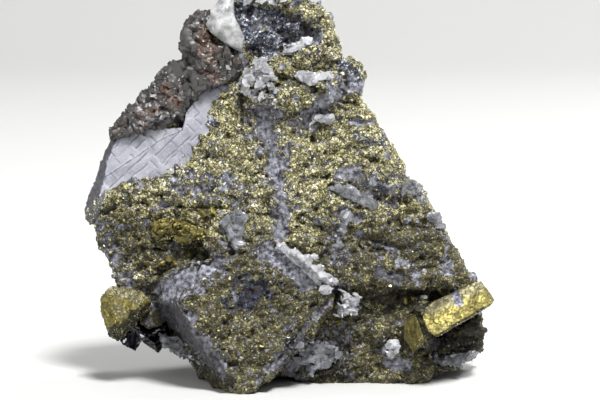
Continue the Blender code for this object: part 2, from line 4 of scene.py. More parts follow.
import bmesh
import bpy
import numpy as np
from mathutils import Matrix, Vector, bvhtree, kdtree, noise


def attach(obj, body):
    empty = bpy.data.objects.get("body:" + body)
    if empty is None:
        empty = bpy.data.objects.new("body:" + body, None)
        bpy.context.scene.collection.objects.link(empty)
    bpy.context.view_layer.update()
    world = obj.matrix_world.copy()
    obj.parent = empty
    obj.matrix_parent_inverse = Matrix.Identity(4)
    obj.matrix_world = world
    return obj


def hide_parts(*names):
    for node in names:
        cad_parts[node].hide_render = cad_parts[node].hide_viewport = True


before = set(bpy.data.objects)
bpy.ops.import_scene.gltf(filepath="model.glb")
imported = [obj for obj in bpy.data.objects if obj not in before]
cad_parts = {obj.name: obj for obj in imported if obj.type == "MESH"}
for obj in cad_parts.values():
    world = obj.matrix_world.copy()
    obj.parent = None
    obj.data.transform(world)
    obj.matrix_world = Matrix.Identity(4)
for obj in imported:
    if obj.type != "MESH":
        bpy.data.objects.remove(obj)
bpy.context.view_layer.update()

mm = 0.001
print("frame loaded:", len(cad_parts), "solids")


# The view that places are given in: mm across and up in the photograph's plane.

frontView = {
    "tilt": 7.0,                    # degrees that the camera looks down
    "distance": 900.0,
    "aim": (3.0, 54.3),             # what the picture's middle shows, across and up
    "lens": 180.0,
    "origin": (0.41, -6.18),        # where the view's zero lies in the frame, in mm along X and Y
}


def eyeAxes():
    tilt = math.radians(frontView["tilt"])
    ahead = np.array((0, math.cos(tilt), -math.sin(tilt)))
    upward = np.array((0, math.sin(tilt), math.cos(tilt)))
    aimUp = frontView["aim"][1] / math.cos(tilt)
    aim = np.array((frontView["aim"][0] + frontView["origin"][0], frontView["origin"][1], aimUp))
    return aim - ahead * frontView["distance"], ahead, upward


def acrossAndUp(spots):             # spots in metres; gives mm across and up as the camera sees them
    eye, ahead, upward = eyeAxes()
    away = spots / mm - eye
    spread = frontView["distance"] / (away @ ahead)
    across = away[:, 0] * spread + frontView["aim"][0]
    return across, (away @ upward) * spread + frontView["aim"][1]


def viewRay(across, up):
    eye, ahead, upward = eyeAxes()
    aim = frontView["aim"]
    return eye, ahead * frontView["distance"] + (across - aim[0], 0, 0) + upward * (up - aim[1])


def viewSpot(across, up, depth):    # a place in the front view and its depth in mm, in metres in the frame
    eye, ray = viewRay(across, up)
    return Vector((eye + ray * (depth + frontView["origin"][1] - eye[1]) / ray[1]) * mm)


def rayTree(meshes):
    work = bmesh.new()
    for mesh in meshes:
        work.from_mesh(mesh)
    tree = bvhtree.BVHTree.FromBMesh(work)
    work.free()
    return tree


def metBy(tree, across, up):        # where the camera's ray through a place meets the tree's surfaces
    eye, ray = viewRay(across, up)
    return tree.ray_cast(Vector(eye * mm), Vector(ray).normalized())[0]


def addCamera():
    eye, ahead, _ = eyeAxes()
    data = bpy.data.cameras.new("camera")
    data.lens = frontView["lens"]
    data.clip_start = 0.05
    camera = bpy.data.objects.new("camera", data)
    camera.location = Vector(eye * mm)
    camera.rotation_euler = Vector(ahead).to_track_quat("-Z", "Y").to_euler()
    bpy.context.scene.collection.objects.link(camera)
    bpy.context.scene.camera = camera


addCamera()


# Small tools

def hexColour(code):                # sRGB hex to the linear values that shaders take
    parts = [int(code[place:place + 2], 16) / 255 for place in (1, 3, 5)]
    return [((part + 0.055) / 1.055) ** 2.4 if part > 0.04045 else part / 12.92 for part in parts] + [1.0]


def addNode(tree, kind, inputs=(), stops=(), **settings):       # an input takes a value, a socket or a node
    node = tree.nodes.new(kind if "Node" in kind else "ShaderNode" + kind)
    for name, value in settings.items():
        setattr(node, name, value)
    for name, value in dict(inputs).items():
        if isinstance(value, bpy.types.Node):       # linked from the first output that it has in use
            value = next(socket for socket in value.outputs if socket.enabled)
        if isinstance(value, bpy.types.NodeSocket):
            tree.links.new(value, node.inputs[name])
        else:
            node.inputs[name].default_value = value
    for index, (place, code) in enumerate(stops):       # a colour ramp's stops
        element = node.color_ramp.elements[index] if index < 2 else node.color_ramp.elements.new(place)
        element.position = place
        element.color = hexColour(code)
    return node


def newMaterial(name, fields=()):
    # gives the material, what adds a node to it, its place socket and its fields' sockets
    made = bpy.data.materials.new(name)
    made.use_nodes = True
    made.node_tree.nodes.clear()
    add = partial(addNode, made.node_tree)
    place = add("TexCoord").outputs["Object"]
    sockets = [add("Attribute", attribute_name=field).outputs["Fac"] for field in fields]
    return made, add, place, sockets


def newPiece(name, mesh):
    piece = bpy.data.objects.new(name, mesh)
    bpy.context.scene.collection.objects.link(piece)
    return piece


def pieceFrom(work, name):
    mesh = bpy.data.meshes.new(name)
    work.to_mesh(mesh)
    work.free()
    return newPiece(name, mesh)


def dress(piece, finish, slot, *nodes):     # its finish, its body, its slot (not used) and the solids that it stands for
    piece.data.materials.clear()
    piece.data.materials.append(finish)
    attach(piece, "root")
    if nodes:
        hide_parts(*nodes)


def camelName(node):
    words = node.split("_")
    return words[0] + "".join(word.title() for word in words[1:])


def settle(piece):                  # bakes the modifiers into the piece's own mesh
    bpy.context.view_layer.update()
    graph = bpy.context.evaluated_depsgraph_get()
    mesh = bpy.data.meshes.new_from_object(piece.evaluated_get(graph))
    piece.modifiers.clear()
    piece.data = mesh
    return piece


def mergedCopy(node, name):         # the solid's loose triangles, joined at their corners
    work = bmesh.new()
    work.from_mesh(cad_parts[node].data)
    bmesh.ops.remove_doubles(work, verts=work.verts, dist=1e-6)
    return pieceFrom(work, name)


def remeshed(piece, voxel, smoothing):      # an even skin of quads, voxel in mm
    skin = piece.modifiers.new("skin", "REMESH")
    skin.mode = "VOXEL"
    skin.voxel_size = voxel * mm
    if smoothing:
        soften = piece.modifiers.new("soften", "SMOOTH")
        soften.factor = 0.5
        soften.iterations = smoothing
    return settle(piece)


def spotsOf(mesh):
    spots = np.empty(len(mesh.vertices) * 3)
    mesh.vertices.foreach_get("co", spots)
    return spots.reshape(-1, 3)


def normalsOf(mesh):
    normals = np.empty(len(mesh.vertices) * 3)
    mesh.vertex_normals.foreach_get("vector", normals)
    return normals.reshape(-1, 3)


def surfaceOf(mesh):                # the spots, their normals, and where the front view shows them
    spots = spotsOf(mesh)
    return spots, normalsOf(mesh), *acrossAndUp(spots)


def moveSpots(mesh, spots):
    mesh.vertices.foreach_set("co", spots.ravel())
    mesh.update()


def pushOut(mesh, spots, normals, relief):      # by the relief in mm, and never under the floor
    spots += normals * relief[:, None] * mm
    spots[:, 2] = np.maximum(spots[:, 2], 0)
    moveSpots(mesh, spots)


def keepField(mesh, name, values):
    field = mesh.attributes.get(name) or mesh.attributes.new(name, "FLOAT", "POINT")
    field.data.foreach_set("value", np.asarray(values, dtype=np.float32))


def fieldOf(mesh, name):
    values = np.empty(len(mesh.vertices), np.float32)
    mesh.attributes[name].data.foreach_get("value", values)
    return values


def shadeByField(mesh, field, limit):       # smooth where the field is over the limit, faceted elsewhere
    corners = np.empty(len(mesh.loops), np.int32)
    mesh.loops.foreach_get("vertex_index", corners)
    starts = np.empty(len(mesh.polygons), np.int32)
    mesh.polygons.foreach_get("loop_start", starts)
    mesh.polygons.foreach_set("use_smooth", field[corners[starts]] > limit)
    mesh.update()


def shadeByAngle(mesh, degrees):
    mesh.shade_smooth()
    mesh.set_sharp_from_angle(angle=math.radians(degrees))


def noiseField(spots, size, seed, octaves=1):     # about -1 to 1, with lumps of size mm
    offset = Vector((seed * 17.3, seed * 5.1, seed * 9.7))
    points = spots / (size * mm)
    if octaves == 1:
        return np.array([noise.noise(Vector(point) + offset) for point in points])
    return np.array([noise.fractal(Vector(point) + offset, 1.0, 2.0, octaves) for point in points])


def facetField(spots, size, seed):      # about -1 to 1: broken facets of size mm, each tilted its own way
    random = np.random.default_rng(seed)
    reach = np.prod(np.sort(np.ptp(spots, axis=0))[1:]) / mm ** 2
    centres = spots[random.integers(len(spots), size=int(5 * reach / size ** 2))]
    tilts = random.normal(size=centres.shape)
    tree = kdtree.KDTree(len(centres))
    for index, centre in enumerate(centres):
        tree.insert(centre, index)
    tree.balance()
    nearest = np.array([tree.find(spot)[1] for spot in spots])
    return ((spots - centres[nearest]) * tilts[nearest]).sum(axis=1) / (size * mm)


def ramp(values, low, high):        # 0 below low, 1 above high, smooth between
    share = np.clip((values - low) / (high - low), 0, 1)
    return share * share * (3 - 2 * share)


def patches(across, up, ragged, capsules, blur=0.6):
    # 1 inside any of the patches and 0 outside; each runs from one place to another with a half width
    inside = np.zeros(len(across))
    for startX, startY, endX, endY, width in capsules:
        runX, runY = endX - startX, endY - startY
        length = max(runX * runX + runY * runY, 1e-6)
        share = np.clip(((across - startX) * runX + (up - startY) * runY) / length, 0, 1)
        gap = np.hypot(across - startX - share * runX, up - startY - share * runY) - width
        inside = np.maximum(inside, 1 - ramp(gap + ragged, -blur, blur))
    return inside


# The rock

rockLook = {
    "voxel": 0.74,
    "smoothing": 2,
    "seatDepth": (0.25, 0.4),       # how far the skin stays under the pieces that sit in it: solid, then skin
    "crustThickness": 0.7,          # how far the crust stands over bare galena
    "broadLumps": (6.0, 1.1),       # size and height in mm
    "fineLumps": (2.5, 0.85),
    "grain": (1.3, 0.4),
    "ledges": (9.0, 1.7),
    "pits": (3.2, 1.3),
    "fissures": (8.0, 1.3),
    "creaseDepth": 1.3,
    "breaks": (8.0, 2.4),           # facets of the broken back
    "chips": (2.8, 0.6),
    # Rounded heaps of crust, as (across, up, depth, radius) in the front view
    "heaps": [
        (-5.2, 95.4, -1.4, 3.2), (-2.0, 93.6, -1.6, 4.0), (-4.6, 90.8, -1.6, 3.0), (3.6, 97.2, -1.6, 3.2),
        (8.0, 98.6, -1.6, 3.4), (12.4, 97.0, -1.4, 3.2), (-6.4, 85.0, -9.6, 2.4), (-2.6, 84.6, -10.4, 2.8),
        (1.6, 84.4, -10.2, 2.6), (6.0, 85.6, -9.6, 2.8), (10.4, 87.6, -9.0, 2.8), (13.6, 90.4, -7.6, 2.4),
        (18.4, 93.2, -0.8, 4.0), (18.6, 88.4, -1.0, 3.8), (47.0, 27.8, -1.4, 3.0), (50.8, 30.0, -1.2, 2.8),
        (54.4, 30.6, 0.0, 2.2), (-46.0, 41.0, -2.6, 2.4), (-42.0, 39.6, -3.2, 2.6), (-37.0, 39.2, -4.6, 2.4),
        (-46.0, 35.0, -2.6, 2.4), (-41.0, 33.4, -3.6, 2.2), (-31.0, 38.6, -6.0, 2.0),
        (-50.0, 47.0, -2.0, 2.6), (-47.4, 50.6, -4.4, 2.0), (-40.0, 51.4, -6.0, 2.0),
        (-31.0, 52.0, -7.6, 2.0), (20.0, 6.0, -5.4, 3.4), (27.0, 15.0, -4.4, 3.2), (14.0, 14.4, -4.6, 2.4),
        (36.0, 5.6, -5.0, 3.0), (22.4, 18.4, -4.4, 2.6),
    ],
    # The thick edge of the crust over the bare galena, as (across, up, radius)
    "rim": [
        (-19.6, 85.4, 1.6), (-22.0, 82.8, 1.9), (-23.6, 79.6, 1.8), (-24.6, 76.4, 1.6), (-26.6, 73.0, 1.5),
        (-28.8, 69.8, 1.4), (-31.4, 66.8, 1.5), (-34.2, 64.2, 1.4), (-37.0, 61.8, 1.4), (-39.8, 60.0, 1.6),
        (-43.0, 59.6, 1.8), (-46.2, 59.4, 2.0), (-49.6, 58.0, 2.0), (-52.4, 56.2, 2.0), (-54.4, 54.0, 1.9),
        (-51.0, 54.4, 2.0), (-56.2, 52.0, 1.5), (-47.0, 56.2, 2.0), (-43.0, 57.0, 1.8), (-57.4, 50.2, 1.2),
        (-20.4, 80.6, 1.9), (-19.4, 83.0, 1.8), (-21.6, 77.6, 1.7),
    ],
    "rimSunk": 0.6,
    "layers": (2.6, 0.5),           # the dull crust lies in thin level layers
    "ragged": (2.8, 1.4),           # size and reach in mm of the unevenness of the patches' edges
    "islands": 2.6,                 # size in mm of the bare spots where the crust is thin
    "footing": (0.4, -0.7),         # under this height in mm and facing down, it stays flat
    # Patches are (across, up, across, up, half width) in the front view. Its outline runs smooth at "calm",
    # and hardly any druse grows on "polished".
    "calm": [(22.0, 87.0, 35.0, 64.0, 3.2), (40.0, 58.0, 54.0, 30.0, 3.0), (53.0, 42.0, 57.0, 32.0, 2.6),
             (-61.0, 55.0, -53.0, 76.0, 3.4)],
    "polished": [(-37.0, 27.0, -27.0, 33.0, 3.0), (-37.0, 22.0, -21.0, 4.0, 3.0),
                 (-24.6, 34.0, -20.4, 37.0, 1.2), (15.0, 62.4, 21.0, 61.8, 1.6), (29.0, 6.0, 34.5, 4.5, 2.0)],
    "bareGalena": [
        (-8.5, 81.0, -6.0, 72.0, 2.0), (-6.0, 72.0, -3.5, 64.0, 1.7), (-3.0, 65.0, -2.7, 50.7, 1.0),
        (-2.7, 50.7, -2.7, 43.5, 2.2), (-7.5, 39.3, 5.4, 29.4, 2.2), (-37.0, 27.0, -27.0, 33.0, 2.8),
        (-24.6, 34.0, -20.4, 37.0, 1.1), (-37.0, 22.0, -21.0, 4.0, 2.8), (3.0, 76.8, 15.0, 87.3, 1.6),
        (15.0, 62.4, 21.0, 61.8, 1.4), (26.4, 33.0, 32.6, 30.0, 1.7), (31.0, 40.0, 38.0, 31.5, 0.6),
        (12.6, 29.0, 14.4, 27.0, 1.4), (29.0, 6.0, 34.5, 4.5, 2.0), (12.0, 24.0, -10.0, -1.0, 0.8),
        (4.0, 104.4, 8.4, 103.0, 2.2), (16.0, 91.0, 21.0, 88.0, 2.0), (15.0, 50.0, 18.0, 49.0, 1.2),
        (-48.0, 76.0, -30.0, 82.0, 3.4), (-30.0, 82.0, -20.0, 93.0, 3.4), (-17.0, 104.0, -15.0, 91.0, 2.4),
    ],
    "thinCrust": [
        (-9.0, 84.0, -5.0, 66.0, 5.6), (-3.0, 60.0, -3.0, 48.0, 2.6), (-10.0, 41.0, 6.0, 30.0, 3.6),
        (-38.0, 27.0, -24.0, 34.0, 4.6), (22.0, 57.0, 36.0, 60.0, 4.0), (28.0, 39.0, 36.0, 33.0, 2.4),
        (4.0, 77.0, 16.0, 88.0, 3.6), (-34.0, 60.0, -14.0, 56.0, 4.0), (18.0, 62.0, 30.0, 55.0, 3.5),
        (-58.0, 47.0, -50.0, 30.0, 3.0), (0.0, 4.0, 16.0, 12.0, 5.0), (-20.0, 37.0, -16.0, 50.0, 2.6),
        (14.0, 50.0, 15.0, 36.0, 3.0), (-50.0, 30.0, -40.0, 26.0, 4.0), (-12.0, 106.0, 4.0, 103.0, 6.0),
    ],
    "seatReach": (0.35, 0.7),       # mm from a seated piece over which the skin gives up its own relief
    "blueTarnish": [
        (-13.6, 110.0, -8.0, 100.0, 4.4), (-6.0, 108.5, 1.5, 105.5, 3.0), (-4.0, 101.0, 4.0, 103.6, 2.0),
        (-15.6, 24.6, -9.6, 27.0, 3.6), (-15.0, 30.0, -10.0, 29.0, 1.8), (15.6, 94.6, 20.6, 88.6, 2.6),
        (-24.6, 78.0, -23.4, 76.8, 1.0), (-19.8, 61.8, -18.0, 60.6, 1.2),
        (20.0, 73.0, 26.0, 71.0, 0.8), (24.0, 60.0, 28.0, 58.0, 1.0), (-6.0, 82.0, -5.0, 80.0, 0.8),
    ],
    # Darker ground, partly dark druse and slate, partly painted shade: under ledges, on the cube's shaded
    # side band and in the lower recesses
    "darkGround": [
        (-1.0, 110.0, 4.0, 107.0, 1.6), (20.0, 60.0, 31.0, 55.0, 2.4), (26.5, 32.4, 33.0, 30.0, 2.2),
        (26.0, 26.0, 40.0, 22.0, 2.4), (2.0, 12.0, 14.0, 3.0, 4.0), (46.0, 16.0, 58.0, 10.0, 6.0),
        (-37.0, 21.0, -20.0, 1.0, 3.4), (-48.0, 76.0, -20.0, 93.0, 3.0), (2.0, 89.0, 9.0, 87.6, 1.6),
    ],
    # Lower faces with a duller olive crust: partly olive tarnish, partly painted shade on faces that get less
    # light
    "olive": [(-22.0, 20.0, 0.0, 20.0, 23.0), (46.0, 14.0, 58.0, 10.0, 8.0), (-52.0, 44.0, -30.0, 38.0, 8.0),
              (16.0, 36.0, 50.0, 36.0, 13.0), (10.0, 10.0, 40.0, 10.0, 12.0)],
    # Narrow grooves: under the ledges, beside the vein, under the left lip, round the cube and the ribbon
    "creases": [
        (-9.6, 82.6, -4.0, 80.6, 0.6), (-4.0, 80.6, 2.0, 80.4, 0.6), (1.0, 90.0, 9.0, 86.4, 1.0),
        (-14.6, 87.0, -14.4, 74.0, 0.4), (-14.4, 74.0, -12.0, 66.0, 0.4), (-3.6, 65.0, -3.6, 51.0, 0.4),
        (-50.0, 54.0, -36.0, 52.6, 0.6), (-36.0, 52.6, -20.0, 52.0, 0.6), (-20.0, 52.0, -4.0, 49.0, 0.5),
        (-1.6, 38.0, 11.0, 26.0, 0.5), (-34.0, 22.6, -20.0, 37.6, 0.4), (-20.0, 37.6, -12.0, 42.0, 0.5),
        (12.0, 25.0, -7.0, 2.0, 0.5), (13.0, 27.4, 26.0, 28.4, 0.7), (26.0, 28.4, 40.0, 26.0, 0.8),
        (6.0, 62.0, 16.0, 60.0, 0.4), (20.0, 68.0, 34.0, 63.0, 0.4), (18.0, 44.0, 34.0, 40.0, 0.4),
        (4.0, 50.0, 12.0, 44.0, 0.4), (-44.0, 40.0, -30.0, 38.4, 0.6), (-48.0, 36.0, -38.0, 33.0, 0.6),
        (-6.0, 107.0, 3.0, 101.0, 0.8), (0.0, 108.0, 6.0, 106.0, 0.8), (14.0, 84.0, 21.0, 82.6, 0.5),
    ],
    "calcite": [
        (0.0, 12.0, 16.0, 6.0, 4.0), (16.0, 26.0, 22.0, 20.0, 2.6), (28.0, 12.0, 34.0, 8.0, 2.4),
        (34.5, 60.0, 40.0, 56.0, 3.0), (17.0, 59.0, 22.0, 56.0, 1.6), (14.0, 50.0, 15.0, 38.0, 0.8),
        (-21.0, 50.0, -16.0, 42.0, 1.8), (-15.0, 92.0, -7.0, 80.0, 2.6), (6.0, 94.0, 12.0, 99.0, 1.4),
        (46.0, 10.0, 54.0, 6.0, 2.4), (8.0, 80.0, 14.0, 79.0, 1.4), (-15.0, 114.0, -3.0, 113.6, 2.6),
        (-41.0, 14.0, -28.0, 7.0, 2.2), (41.0, 50.0, 45.0, 46.0, 1.2), (-14.0, 101.0, -12.0, 95.0, 1.4),
    ],
}


def skinSource():       # the rock with every seated piece, each drawn in a little, to close the seats
    work = bmesh.new()
    for node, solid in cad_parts.items():
        part = bmesh.new()
        part.from_mesh(solid.data)
        bmesh.ops.remove_doubles(part, verts=part.verts, dist=1e-6)
        part.normal_update()
        if node != "crusted_rock":
            drawn = [vert.co - vert.normal * rockLook["seatDepth"][0] * mm for vert in part.verts]
            for vert, spot in zip(part.verts, drawn):
                vert.co = spot
        mesh = bpy.data.meshes.new("part")
        part.to_mesh(mesh)
        part.free()
        work.from_mesh(mesh)
    heaps = [(viewSpot(across, up, depth), radius) for across, up, depth, radius in rockLook["heaps"]]
    solids = rayTree([solid.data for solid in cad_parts.values()])
    for across, up, radius in rockLook["rim"]:
        spot = metBy(solids, across, up)
        if spot:
            heaps.append((spot + Vector((0, rockLook["rimSunk"] * mm, 0)), radius))
    for spot, radius in heaps:
        bmesh.ops.create_icosphere(work, subdivisions=2, radius=radius * mm, matrix=Matrix.Translation(spot))
    return pieceFrom(work, "crustedRock")


def seatField(spots):               # 1 where the skin runs inside a seated piece
    tree = rayTree([solid.data for node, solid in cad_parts.items() if node != "crusted_rock"])
    return 1 - ramp(np.array([tree.find_nearest(spot)[3] for spot in spots]) / mm, *rockLook["seatReach"])


def rockFields(spots, normals, across, up):
    size, reach = rockLook["ragged"]
    ragged = reach * noiseField(spots, size, 1, 3)
    islands = noiseField(spots, rockLook["islands"], 2, 3)
    facing = ramp(-normals[:, 1], -0.25, 0.3)       # 1 on what the front view shows
    backCrust = ramp(noiseField(spots, 13.0, 4, 3), -0.08, 0.08)
    bare = patches(across, up, ragged, rockLook["bareGalena"]) * facing
    thin = patches(across, up, ragged * 1.6, rockLook["thinCrust"], 1.6) * facing
    blue = patches(across, up, ragged * 1.8, rockLook["blueTarnish"], 1.0) * facing
    dark = patches(across, up, ragged * 1.6, rockLook["darkGround"], 1.6) * facing
    olive = patches(across, up, ragged * 2, rockLook["olive"], 3.0)
    bare = np.maximum(bare, thin * ramp(islands, 0.12, 0.22))
    bare = np.maximum(bare, ramp(noiseField(spots, 4.5, 3, 3), 0.5, 0.58) * facing)
    bare = np.maximum(bare, (1 - facing) * (1 - backCrust))
    crease = patches(across, up, ragged * 0.35, rockLook["creases"], 0.5) * facing
    polished = patches(across, up, ragged * 0.5, rockLook["polished"])
    calm = patches(across, up, ragged * 0, rockLook["calm"], 2.0)
    return {"bare": bare, "thin": thin, "blue": blue, "dark": dark, "olive": olive, "back": 1 - facing,
            "crease": crease, "seat": seatField(spots), "polished": polished, "calm": calm}


def rockRelief(spots, normals, fields):
    front = 1 - fields["back"]
    crust = 1 - fields["bare"]
    relief = -rockLook["crustThickness"] * fields["bare"] * front
    for seed, key in enumerate(("broadLumps", "fineLumps", "grain")):
        size, height = rockLook[key]
        calm = 1 - (0.8 if seed else 0.3) * fields["bare"]
        relief += height * noiseField(spots, size, 20 + seed) * calm
    size, height = rockLook["ledges"]
    steps = noiseField(spots * (1, 1, 1.8), size, 30, 3) * 3
    terraces = (np.floor(steps) + ramp(steps - np.floor(steps), 0.0, 0.25)) / 3
    relief += height * terraces * (0.25 + 0.75 * crust) * (1 + 0.6 * fields["dark"])
    size, height = rockLook["pits"]
    relief -= height * ramp(noiseField(spots, size, 31), 0.3, 0.5) * crust
    size, height = rockLook["fissures"]
    opened = ramp(noiseField(spots, 7.0, 35), -0.1, 0.15)
    relief -= height * (1 - ramp(np.abs(noiseField(spots, size, 34, 2)), 0.0, 0.08)) * opened
    relief -= rockLook["creaseDepth"] * fields["crease"]
    size, height = rockLook["layers"]
    relief += height * noiseField(spots * (0.45, 0.45, 1.6), size, 37) * fields["olive"] * crust
    size, height = rockLook["breaks"]
    relief += height * facetField(spots, size, 32) * fields["back"]
    size, height = rockLook["chips"]
    relief += height * facetField(spots, size, 33) * np.maximum(fields["back"], 0.3 * fields["bare"])
    relief *= 1 - 0.8 * fields["calm"]
    turned = 1 - ramp(-normals[:, 1], 0.1, 0.5)     # calmer on the sides, which keeps the outline straight
    relief *= 1 - 0.65 * turned * front
    return relief * (1 - fields["seat"]) - rockLook["seatDepth"][1] * fields["seat"]


def rockSkin():
    rock = remeshed(skinSource(), rockLook["voxel"], rockLook["smoothing"])
    mesh = rock.data
    spots, normals, across, up = surfaceOf(mesh)
    fields = rockFields(spots, normals, across, up)
    relief = rockRelief(spots, normals, fields)
    height, downward = rockLook["footing"]
    relief[(spots[:, 2] < height * mm) & (normals[:, 2] < downward)] = 0
    pushOut(mesh, spots, normals, relief)
    # painted shade: the colour darkens in the skin's hollows, by how deep the relief sinks
    fields["hollow"] = 0.8 * ramp(-relief, 0.6, 2.2) * (1 - fields["bare"])
    fields["calcite"] = patches(across, up, noiseField(spots, 2.2, 36, 2), rockLook["calcite"], 0.8)
    del fields["crease"], fields["calm"]        # the relief alone uses them
    for name, values in fields.items():
        keepField(mesh, name, values)
    shadeByField(mesh, fields["bare"], 0.5)
    return rock


galenaTone = {"deep": "#3c3c42", "mid": "#6e6e76", "bright": "#9c9ca6"}
brassTone = {"deep": "#544f38", "dull": "#8a845e", "mid": "#b2ac7c", "bright": "#ccc79a", "pale": "#e2dec4"}
# painted shade: the colour of the gaps between the crust's crumbs
gapShadeTone = "#302d20"                 # between the crust's crumbs
# The blue tarnish's hues; the palest stops are painted glints on a few grains
tarnishAndGlintTones = [(0.0, "#25232c"), (0.2, "#3a4466"), (0.32, "#5e5068"), (0.44, "#40697f"), (0.56, "#747280"),
               (0.7, "#95959b"), (0.82, "#c0c3cd"), (1.0, "#e6e8ef")]


def rockMaterial():
    # Galena-rich ore: granular lead grey where bare; painted shade in the gaps between the crust's crumbs
    made, add, place, fields = newMaterial(
        "galena ore, broken and crusted", ("bare", "thin", "blue", "dark", "olive", "back", "seat", "hollow"))
    bare, thin, blue, dark, olive, back, seat, hollow = fields
    ripple = add("TexNoise", {"Vector": place, "Scale": 1 / (1.1 * mm), "Detail": 2.0})
    centred = add("VectorMath", {0: ripple.outputs["Color"], 1: (0.5, 0.5, 0.5)}, operation="SUBTRACT")
    warp = add("VectorMath", {0: centred, "Scale": 1.3 * mm}, operation="SCALE")
    warped = add("VectorMath", {0: place, 1: warp}, operation="ADD")
    crumbs ={"Vector": warped, "Scale": 1 / (0.95 * mm)}
    cells = add("TexVoronoi", crumbs)
    rims = add("TexVoronoi", crumbs, feature="DISTANCE_TO_EDGE")
    chance = add("SeparateColor", {0: cells.outputs["Color"]})
    grain = add("TexNoise", {"Vector": place, "Scale": 1 / (0.6 * mm), "Detail": 4.0})
    cloud = add("TexNoise", {"Vector": place, "Scale": 1 / (5.0 * mm), "Detail": 3.0})
    solid = add("MapRange", {0: rims.outputs["Distance"], 1: 0.02, 2: 0.16})
    shift = add("MapRange", {0: cloud, 1: 0.3, 2: 0.7, 3: -0.2, 4: 0.2})
    tone = add("Math", {0: chance, 1: shift}, operation="ADD")
    # duller where 'olive' is high: olive tarnish, and painted shade
    duller = add("Math", {0: olive, 1: -0.55, 2: tone}, operation="MULTIPLY_ADD")
    brass = add("ValToRGB", {0: duller}, stops=zip((0.0, 0.25, 0.55, 0.8, 1.0), brassTone.values()))
    mottle = add("TexNoise", {"Vector": place, "Scale": 1 / (1.2 * mm), "Detail": 6.0})
    lead = add("ValToRGB", {0: mottle}, stops=zip((0.36, 0.48, 0.64), galenaTone.values()))
    greyShare = add("Math", {0: thin, 1: 0.3, 2: 0.14}, operation="MULTIPLY_ADD")
    greyCell = add("Math", {0: chance.outputs[1], 1: greyShare}, operation="LESS_THAN")
    crumb = add("Mix", {0: greyCell, 6: brass, 7: lead}, data_type="RGBA")
    tint = add("ValToRGB", {0: duller}, stops=tarnishAndGlintTones)
    hued = add("Mix", {0: blue, 6: crumb, 7: tint}, data_type="RGBA")
    # painted shade in the gaps between the crumbs
    crust = add("Mix", {0: solid, 6: hexColour(gapShadeTone), 7: hued}, data_type="RGBA")
    frayed = add("Math", {0: grain, 1: 1.2, 2: bare}, operation="MULTIPLY_ADD")
    share = add("MapRange", {0: frayed, 1: 1.02, 2: 1.18})
    body = add("Mix", {0: share, 6: crust, 7: lead}, data_type="RGBA")
    dimBack = add("Math", {0: back, 1: 0.3}, operation="MULTIPLY")
    # painted shade, with dark druse, where 'dark' is high
    dimDark = add("Math", {0: dark, 1: 0.75, 2: dimBack}, operation="MULTIPLY_ADD")
    # painted shade in the skin's hollows
    dimHollow = add("Math", {0: hollow, 1: 0.8, 2: dimDark}, operation="MULTIPLY_ADD")
    # painted contact shadow: the skin darkens round each seated piece
    dim = add("Math", {0: seat, 1: 0.7, 2: dimHollow}, operation="MULTIPLY_ADD", use_clamp=True)
    shade = add("Mix", {0: dim, 6: body, 7: hexColour("#1c1b19")}, data_type="RGBA")
    rough = add("MapRange", {0: grain, 3: 0.5, 4: 0.7})
    rise = add("MapRange", {0: rims.outputs["Distance"], 1: 0.0, 2: 0.3})
    crumbHeight = add("Mix", {0: share, 2: rise, 3: 1.0})
    crumbBump = add("Bump", {"Height": crumbHeight, "Strength": 0.7, "Distance": 0.3 * mm})
    bump = add("Bump", {"Height": mottle, "Strength": 0.6, "Distance": 0.4 * mm, "Normal": crumbBump})
    shader = add("BsdfPrincipled", {
        "Base Color": shade, "Metallic": 0.35, "Roughness": rough, "Normal": bump})
    add("OutputMaterial", {0: shader})
    return made


rock = rockSkin()
dress(rock, rockMaterial(), "chalcopyrite_crust", "crusted_rock")
print("rock skin:", len(rock.data.polygons), "quads")


# Small crystals, grown over a surface

def hullPiece(name, shapes):        # a closed flat-faced solid round each list of spots
    work = bmesh.new()
    for spots in shapes:
        hull = bmesh.ops.convex_hull(work, input=[work.verts.new(spot) for spot in spots])
        spare = [item for item in hull["geom_interior"] if isinstance(item, bmesh.types.BMVert)]
        bmesh.ops.delete(work, geom=spare, context="VERTS")
    bmesh.ops.recalc_face_normals(work, faces=work.faces)
    return pieceFrom(work, name)


def stubShape(seed, corners=6):     # a stubby crystal a unit in radius
    random = np.random.default_rng(seed)
    spots = random.normal(size=(corners, 3))
    return hullPiece("stub", [spots / np.linalg.norm(spots, axis=1)[:, None]])


def bladeSpots(random, width, thick, corners):      # a thin flat crystal, long along X, its face along Z
    spots = []
    for corner in range(corners):
        angle = math.tau * corner / corners + random.uniform(-0.15, 0.15)
        reach = random.uniform(0.72, 1.0)
        for level, inset in ((-1, 0.8), (1, 1.0)):
            spots.append((math.cos(angle) * reach * inset, math.sin(angle) * width * reach * inset,
                          level * thick))
    return spots


def bladeShape(seed, least, greatest, corners):     # its width runs from least to greatest
    random = np.random.default_rng(seed)
    width, thick = random.uniform(least, greatest), random.uniform(0.08, 0.14)
    return hullPiece("blade", [bladeSpots(random, width, thick, corners)])


